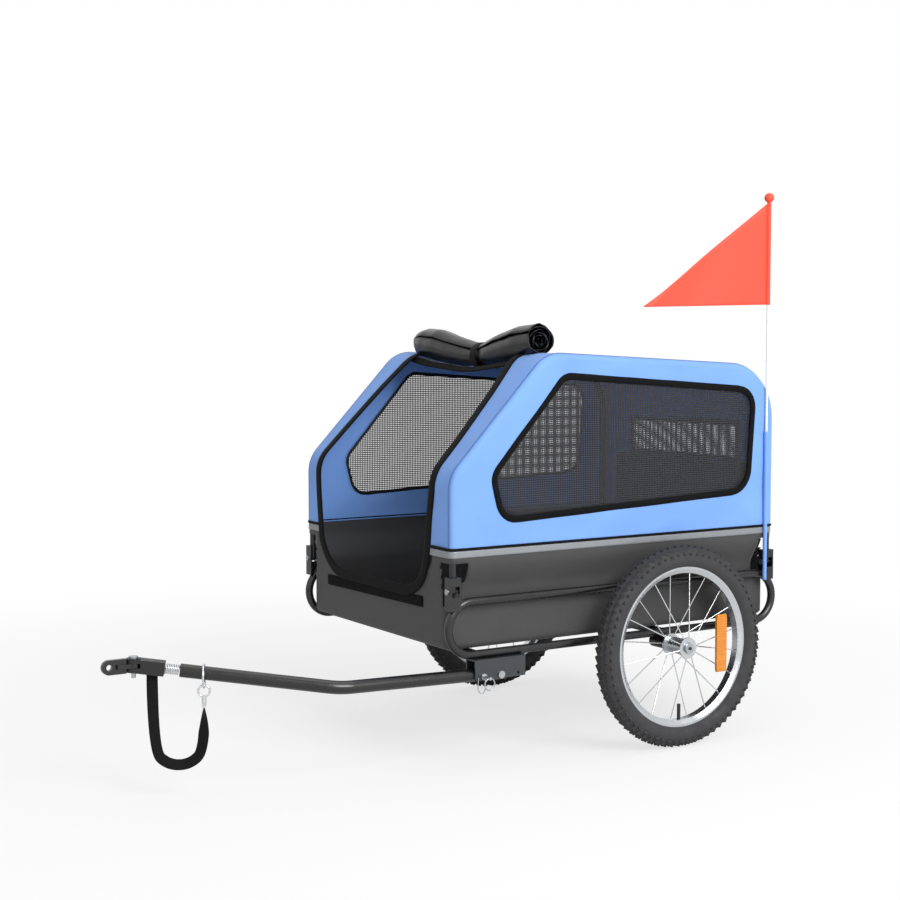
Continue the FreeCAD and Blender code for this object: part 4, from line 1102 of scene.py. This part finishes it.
def reflector(side, sign):
    """Moulded plate with rounded corners and rows of prisms."""
    low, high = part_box(f"{side}_reflector")
    middle = (low + high) / 2
    half = (high - low) / 2
    rows = []
    for z in np.linspace(-1, 1, 47):
        line = []
        for x in np.linspace(-1, 1, 13):
            edge = max(abs(x), abs(z) ** 6)
            prism = 0.0006 * (1 if int((z + 1) * 23) % 2 else -1) * (1 if edge < 0.8 else 0)
            out = half.y * (0.75 if edge > 0.96 else 1.0) + prism - 0.0006
            corner = 1 - 0.12 * max(0, abs(z) - 0.86) / 0.14 * (abs(x) > 0.8)
            line.append((middle.x + x * half.x * corner, middle.y + sign * out, middle.z + z * half.z))
        rows.append(line)
    face = grid(f"{side}_reflector_lens", rows)
    shape = opened(face)
    rim = bmesh.ops.extrude_face_region(shape, geom=list(shape.faces))
    for item in rim["geom"]:
        if isinstance(item, bmesh.types.BMVert):
            item.co.y = middle.y - sign * half.y
    write_back(shape, face)
    for polygon in face.data.polygons:
        polygon.use_smooth = False
    place(face, f"{side}_wheel", "amber", "amber", [f"{side}_reflector"])


class TRAILER_OT_wheels(bpy.types.Operator):
    """Make the tyres with their tread, and the wheel reflectors"""

    bl_idname = "trailer.wheels"
    bl_label = "Wheels"

    def execute(self, context):
        for side, sign in SIDES:
            tyre(side, sign)
            reflector(side, sign)
        return {"FINISHED"}


# Flag
def upright(name, profile):
    """Turned shape about the flag pole."""
    angles = np.linspace(0, 2 * math.pi, 32, endpoint=False)
    rows = [[(POLE[0] + r * math.cos(t), POLE[1] + r * math.sin(t), z) for t in angles] for r, z in profile]
    return grid(name, rows, closed=True)


def pennant():
    foot, top, tip, drop = 0.876, 1.083, 0.328, 0.867
    rows = []
    for u in np.linspace(0, 0.996, 44):
        x = POLE[0] + 0.0035 + u * (tip - 0.0035)
        high = top + (drop - top) * u
        low = foot + (drop - foot) * u
        line = []
        for v in np.linspace(0, 1, 20):
            z = low + (high - low) * v
            wave = 0.007 * u * math.sin(7.5 * u + 2.0 * v) * (0.4 + 0.6 * u)
            line.append((x, POLE[1] + wave, z))
        rows.append(line)
    obj = grid("pennant_cloth", rows)
    cloth(
        obj, "flag", "orange_cloth", (0.328, 0.207), "hung", ["pennant"], ["flag_pole"], 0.0008, False,
        "pennant_unit",
    )
    hem = upright("pennant_hoist", [
        (0.0027, foot), (0.0042, foot), (0.0045, foot + 0.003), (0.0045, top - 0.003), (0.0042, top),
        (0.0027, top), (0.0027, foot),
    ])
    place(hem, "pennant_unit", "orange_cloth", "flag")
    head = upright("flag_knob", [
        (0.0026, 1.0835), (0.0045, 1.0840), (0.0046, 1.0856), (0.0066, 1.0864),
    ] + [
        (0.0100 * math.cos(t), 1.0940 + 0.0100 * math.sin(t)) for t in np.radians(np.linspace(-44, 88, 22))
    ])
    place(head, "flag_unit", "orange_ball", "orange", ["flag_ball"])
    sleeve = upright("flag_pocket", [
        (0.0027, 0.306), (0.0042, 0.306), (0.0044, 0.312), (0.0041, 0.316), (0.0041, 0.60), (0.0045, 0.604),
        (0.0045, 0.614), (0.0040, 0.615), (0.0027, 0.615),
    ])
    place(sleeve, "chassis", "black_cloth", "cloth", ["flag_sleeve"])


class TRAILER_OT_flag(bpy.types.Operator):
    """Make the pennant, its ball and its pocket"""

    bl_idname = "trailer.flag"
    bl_label = "Flag"

    def execute(self, context):
        pennant()
        return {"FINISHED"}


# Towing gear
def strap():
    """Webbing from the coupler's foot down, round and up to the snap hook, twisted to show its face."""
    controls = [ARM_END + HEADING * a + np.array((0, 0, z)) for a, z in STRAP]
    spots = evenly(route(controls), 0.004)
    along = unit(np.gradient(spots, axis=0))
    side = np.array((-HEADING[1], HEADING[0], 0.0))
    share = np.linspace(0, 1, len(spots))
    twist = np.radians(np.interp(share, [0, 0.1, 0.45, 0.6, 0.85, 1], [70, 75, 58, 58, 72, 5]))
    facing = np.cross(side, along)
    normals = facing * np.cos(twist)[:, None] + side * np.sin(twist)[:, None]
    band = sweep("safety_webbing", spots, normals, STRAP_WIDTH / 2, 0.0015, 0.1)
    bridge(band, "webbing", "safety_strap")


def flex_coil():
    """Coil between the arm and the coupler."""
    across = unit(np.cross(FLEX_WAY, (0, 0, 1)))
    over = np.cross(across, FLEX_WAY)
    first = FLEX_WIRE * 1.25
    spots = []
    for share in np.linspace(0, 1, 24 * FLEX_TURNS + 1):
        turn = 2 * math.pi * FLEX_TURNS * share
        middle = FLEX_AT + FLEX_WAY * (first + (FLEX_LENGTH - 2 * first) * share)
        spots.append(tuple(middle + FLEX_RADIUS * (math.cos(turn) * across + math.sin(turn) * over)))
    coil = tube("flex_coil", spots, FLEX_WIRE)
    bridge(coil, "chrome", "flex_spring")


def lanyard():
    """Wire from the tow bracket to the lock pin."""
    spots = evenly(route(LANYARD), 0.001)
    wire = tube("lock_wire", [tuple(p) for p in spots], LANYARD_WIRE / 2)
    bridge(wire, "zinc", "lanyard")


class TRAILER_OT_towing(bpy.types.Operator):
    """Make the safety strap, the coupler's coil and the lock pin's wire"""

    bl_idname = "trailer.towing"
    bl_label = "Towing gear"

    def execute(self, context):
        strap()
        flex_coil()
        lanyard()
        return {"FINISHED"}


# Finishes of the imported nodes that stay
NODE_FINISH = {
    "paint": ["left_side_loop", "right_side_loop", "cross_tubes", "left_arch", "right_arch",
              "corner_brackets", "left_axle_receiver", "right_axle_receiver", "tow_arm", "axle_bracket"],
    "bracket": ["tow_bracket"],
    "zinc": ["hinge_bolts", "tow_pivot_bolt", "lock_pin", "left_axle", "right_axle", "hitch_pin",
             "left_hub_bearings", "right_hub_bearings"],
    "chrome": ["strap_ring", "snap_hook", "left_spokes", "right_spokes"],
    "alloy": ["left_rim", "right_rim", "left_hub", "right_hub"],
    "nylon": ["left_release_button", "right_release_button", "coupler_body", "floor_board",
              "left_valve", "right_valve"],
    "glass_fibre": ["flag_pole"],
}


class TRAILER_OT_metalwork(bpy.types.Operator):
    """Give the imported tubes, wheels and fittings their finishes"""

    bl_idname = "trailer.metalwork"
    bl_label = "Metalwork"

    def execute(self, context):
        for material, nodes in NODE_FINISH.items():
            for name in nodes:
                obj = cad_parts[name]
                if not obj.material_slots:
                    obj.data.materials.append(made[material])
                for slot in obj.material_slots:
                    slot.material = made[material]
        return {"FINISHED"}


# Stage
class TRAILER_OT_stage(bpy.types.Operator):
    """Set the floor, the lamps and the camera"""

    bl_idname = "trailer.stage"
    bl_label = "Stage"

    def execute(self, context):
        scene = context.scene
        scene.view_settings.view_transform = "Standard"
        floor = bpy.data.meshes.new("floor")
        wide = FLOOR_HALF
        corners = [(-wide, -wide, 0), (wide, -wide, 0), (wide, wide, 0), (-wide, wide, 0)]
        floor.from_pydata(corners, [], [(0, 1, 2, 3)])
        ground = link("floor", floor)
        material, tree, shader = finish("studio_floor", Roughness=0.9)
        shader.inputs["Base Color"].default_value = linear("#F4F4F4")
        spot = add(tree, "ShaderNodeTexCoord").outputs["Object"]
        far = add(tree, "ShaderNodeVectorMath", {"operation": "LENGTH"}, _0=spot)
        fade = remap(tree, far.outputs["Value"], 0.7, 2.2, 0.7, 1.0)
        seen = add(tree, "ShaderNodeLightPath").outputs["Is Camera Ray"]
        share = combine(tree, "MULTIPLY", fade, seen)
        glow = add(tree, "ShaderNodeEmission", None, Color=(1, 1, 1, 1), Strength=1.0)
        blend = add(
            tree, "ShaderNodeMixShader", None, _0=share, _1=shader.outputs[0], _2=glow.outputs[0]
        )
        tree.links.new(blend.outputs[0], tree.nodes["Material Output"].inputs["Surface"])
        floor.materials.append(material)
        world = bpy.data.worlds.new("studio")
        world.use_nodes = True
        tree = world.node_tree
        back = tree.nodes["Background"]
        ray = add(tree, "ShaderNodeLightPath")
        seen = ray.outputs["Is Camera Ray"]
        for kind in ("Is Glossy Ray", "Is Transmission Ray"):
            seen = combine(tree, "MAXIMUM", seen, ray.outputs[kind])
        level = remap(tree, seen, 0.0, 1.0, WORLD_LIGHT, 1.0)
        tree.links.new(level, back.inputs["Strength"])
        back.inputs["Color"].default_value = (1, 1, 1, 1)
        scene.world = world
        for name, spot, size, power in LAMPS:
            light = bpy.data.lights.new(name, "AREA")
            light.size = size
            light.energy = power
            lamp = link(name, light)
            lamp.location = spot
            aim = Vector(LAMP_AIM) - Vector(spot)
            lamp.rotation_euler = aim.to_track_quat("-Z", "Y").to_euler()
        view = bpy.data.cameras.new("camera")
        view.lens = CAMERA_LENS
        view.sensor_width = 36
        view.clip_end = 100
        camera = link("camera", view)
        camera.location = CAMERA_AT
        camera.rotation_euler = Vector(CAMERA_WAY).to_track_quat("-Z", "Y").to_euler()
        scene.camera = camera
        return {"FINISHED"}


class TRAILER_PT_pieces(bpy.types.Panel):
    """Sizes, colours and the operators that make each group of pieces"""

    bl_idname = "TRAILER_PT_pieces"
    bl_label = "Dog trailer"
    bl_space_type = "VIEW_3D"
    bl_region_type = "UI"
    bl_category = "Trailer"

    def draw(self, context):
        for group in (context.scene.trailer_sizes, context.scene.trailer_colours):
            column = self.layout.column(align=True)
            for name in group.__annotations__:
                column.prop(group, name)
        for operator in OPERATORS:
            self.layout.operator(operator.bl_idname)


OPERATORS = [
    TRAILER_OT_stage, TRAILER_OT_cabin, TRAILER_OT_windows, TRAILER_OT_cover, TRAILER_OT_wheels,
    TRAILER_OT_flag, TRAILER_OT_towing, TRAILER_OT_metalwork,
]
CLASSES = [TrailerColours, TrailerSizes] + OPERATORS + [TRAILER_PT_pieces]


def register():
    for item in CLASSES:
        bpy.utils.register_class(item)
    bpy.types.Scene.trailer_colours = PointerProperty(type=TrailerColours)
    bpy.types.Scene.trailer_sizes = PointerProperty(type=TrailerSizes)


def unregister():
    del bpy.types.Scene.trailer_sizes
    del bpy.types.Scene.trailer_colours
    for item in reversed(CLASSES):
        bpy.utils.unregister_class(item)


def main():
    register()
    make_materials()
    for group in ("stage", "cabin", "windows", "cover", "wheels", "flag", "towing", "metalwork"):
        getattr(bpy.ops.trailer, group)()


if __name__ == "__main__":
    main()
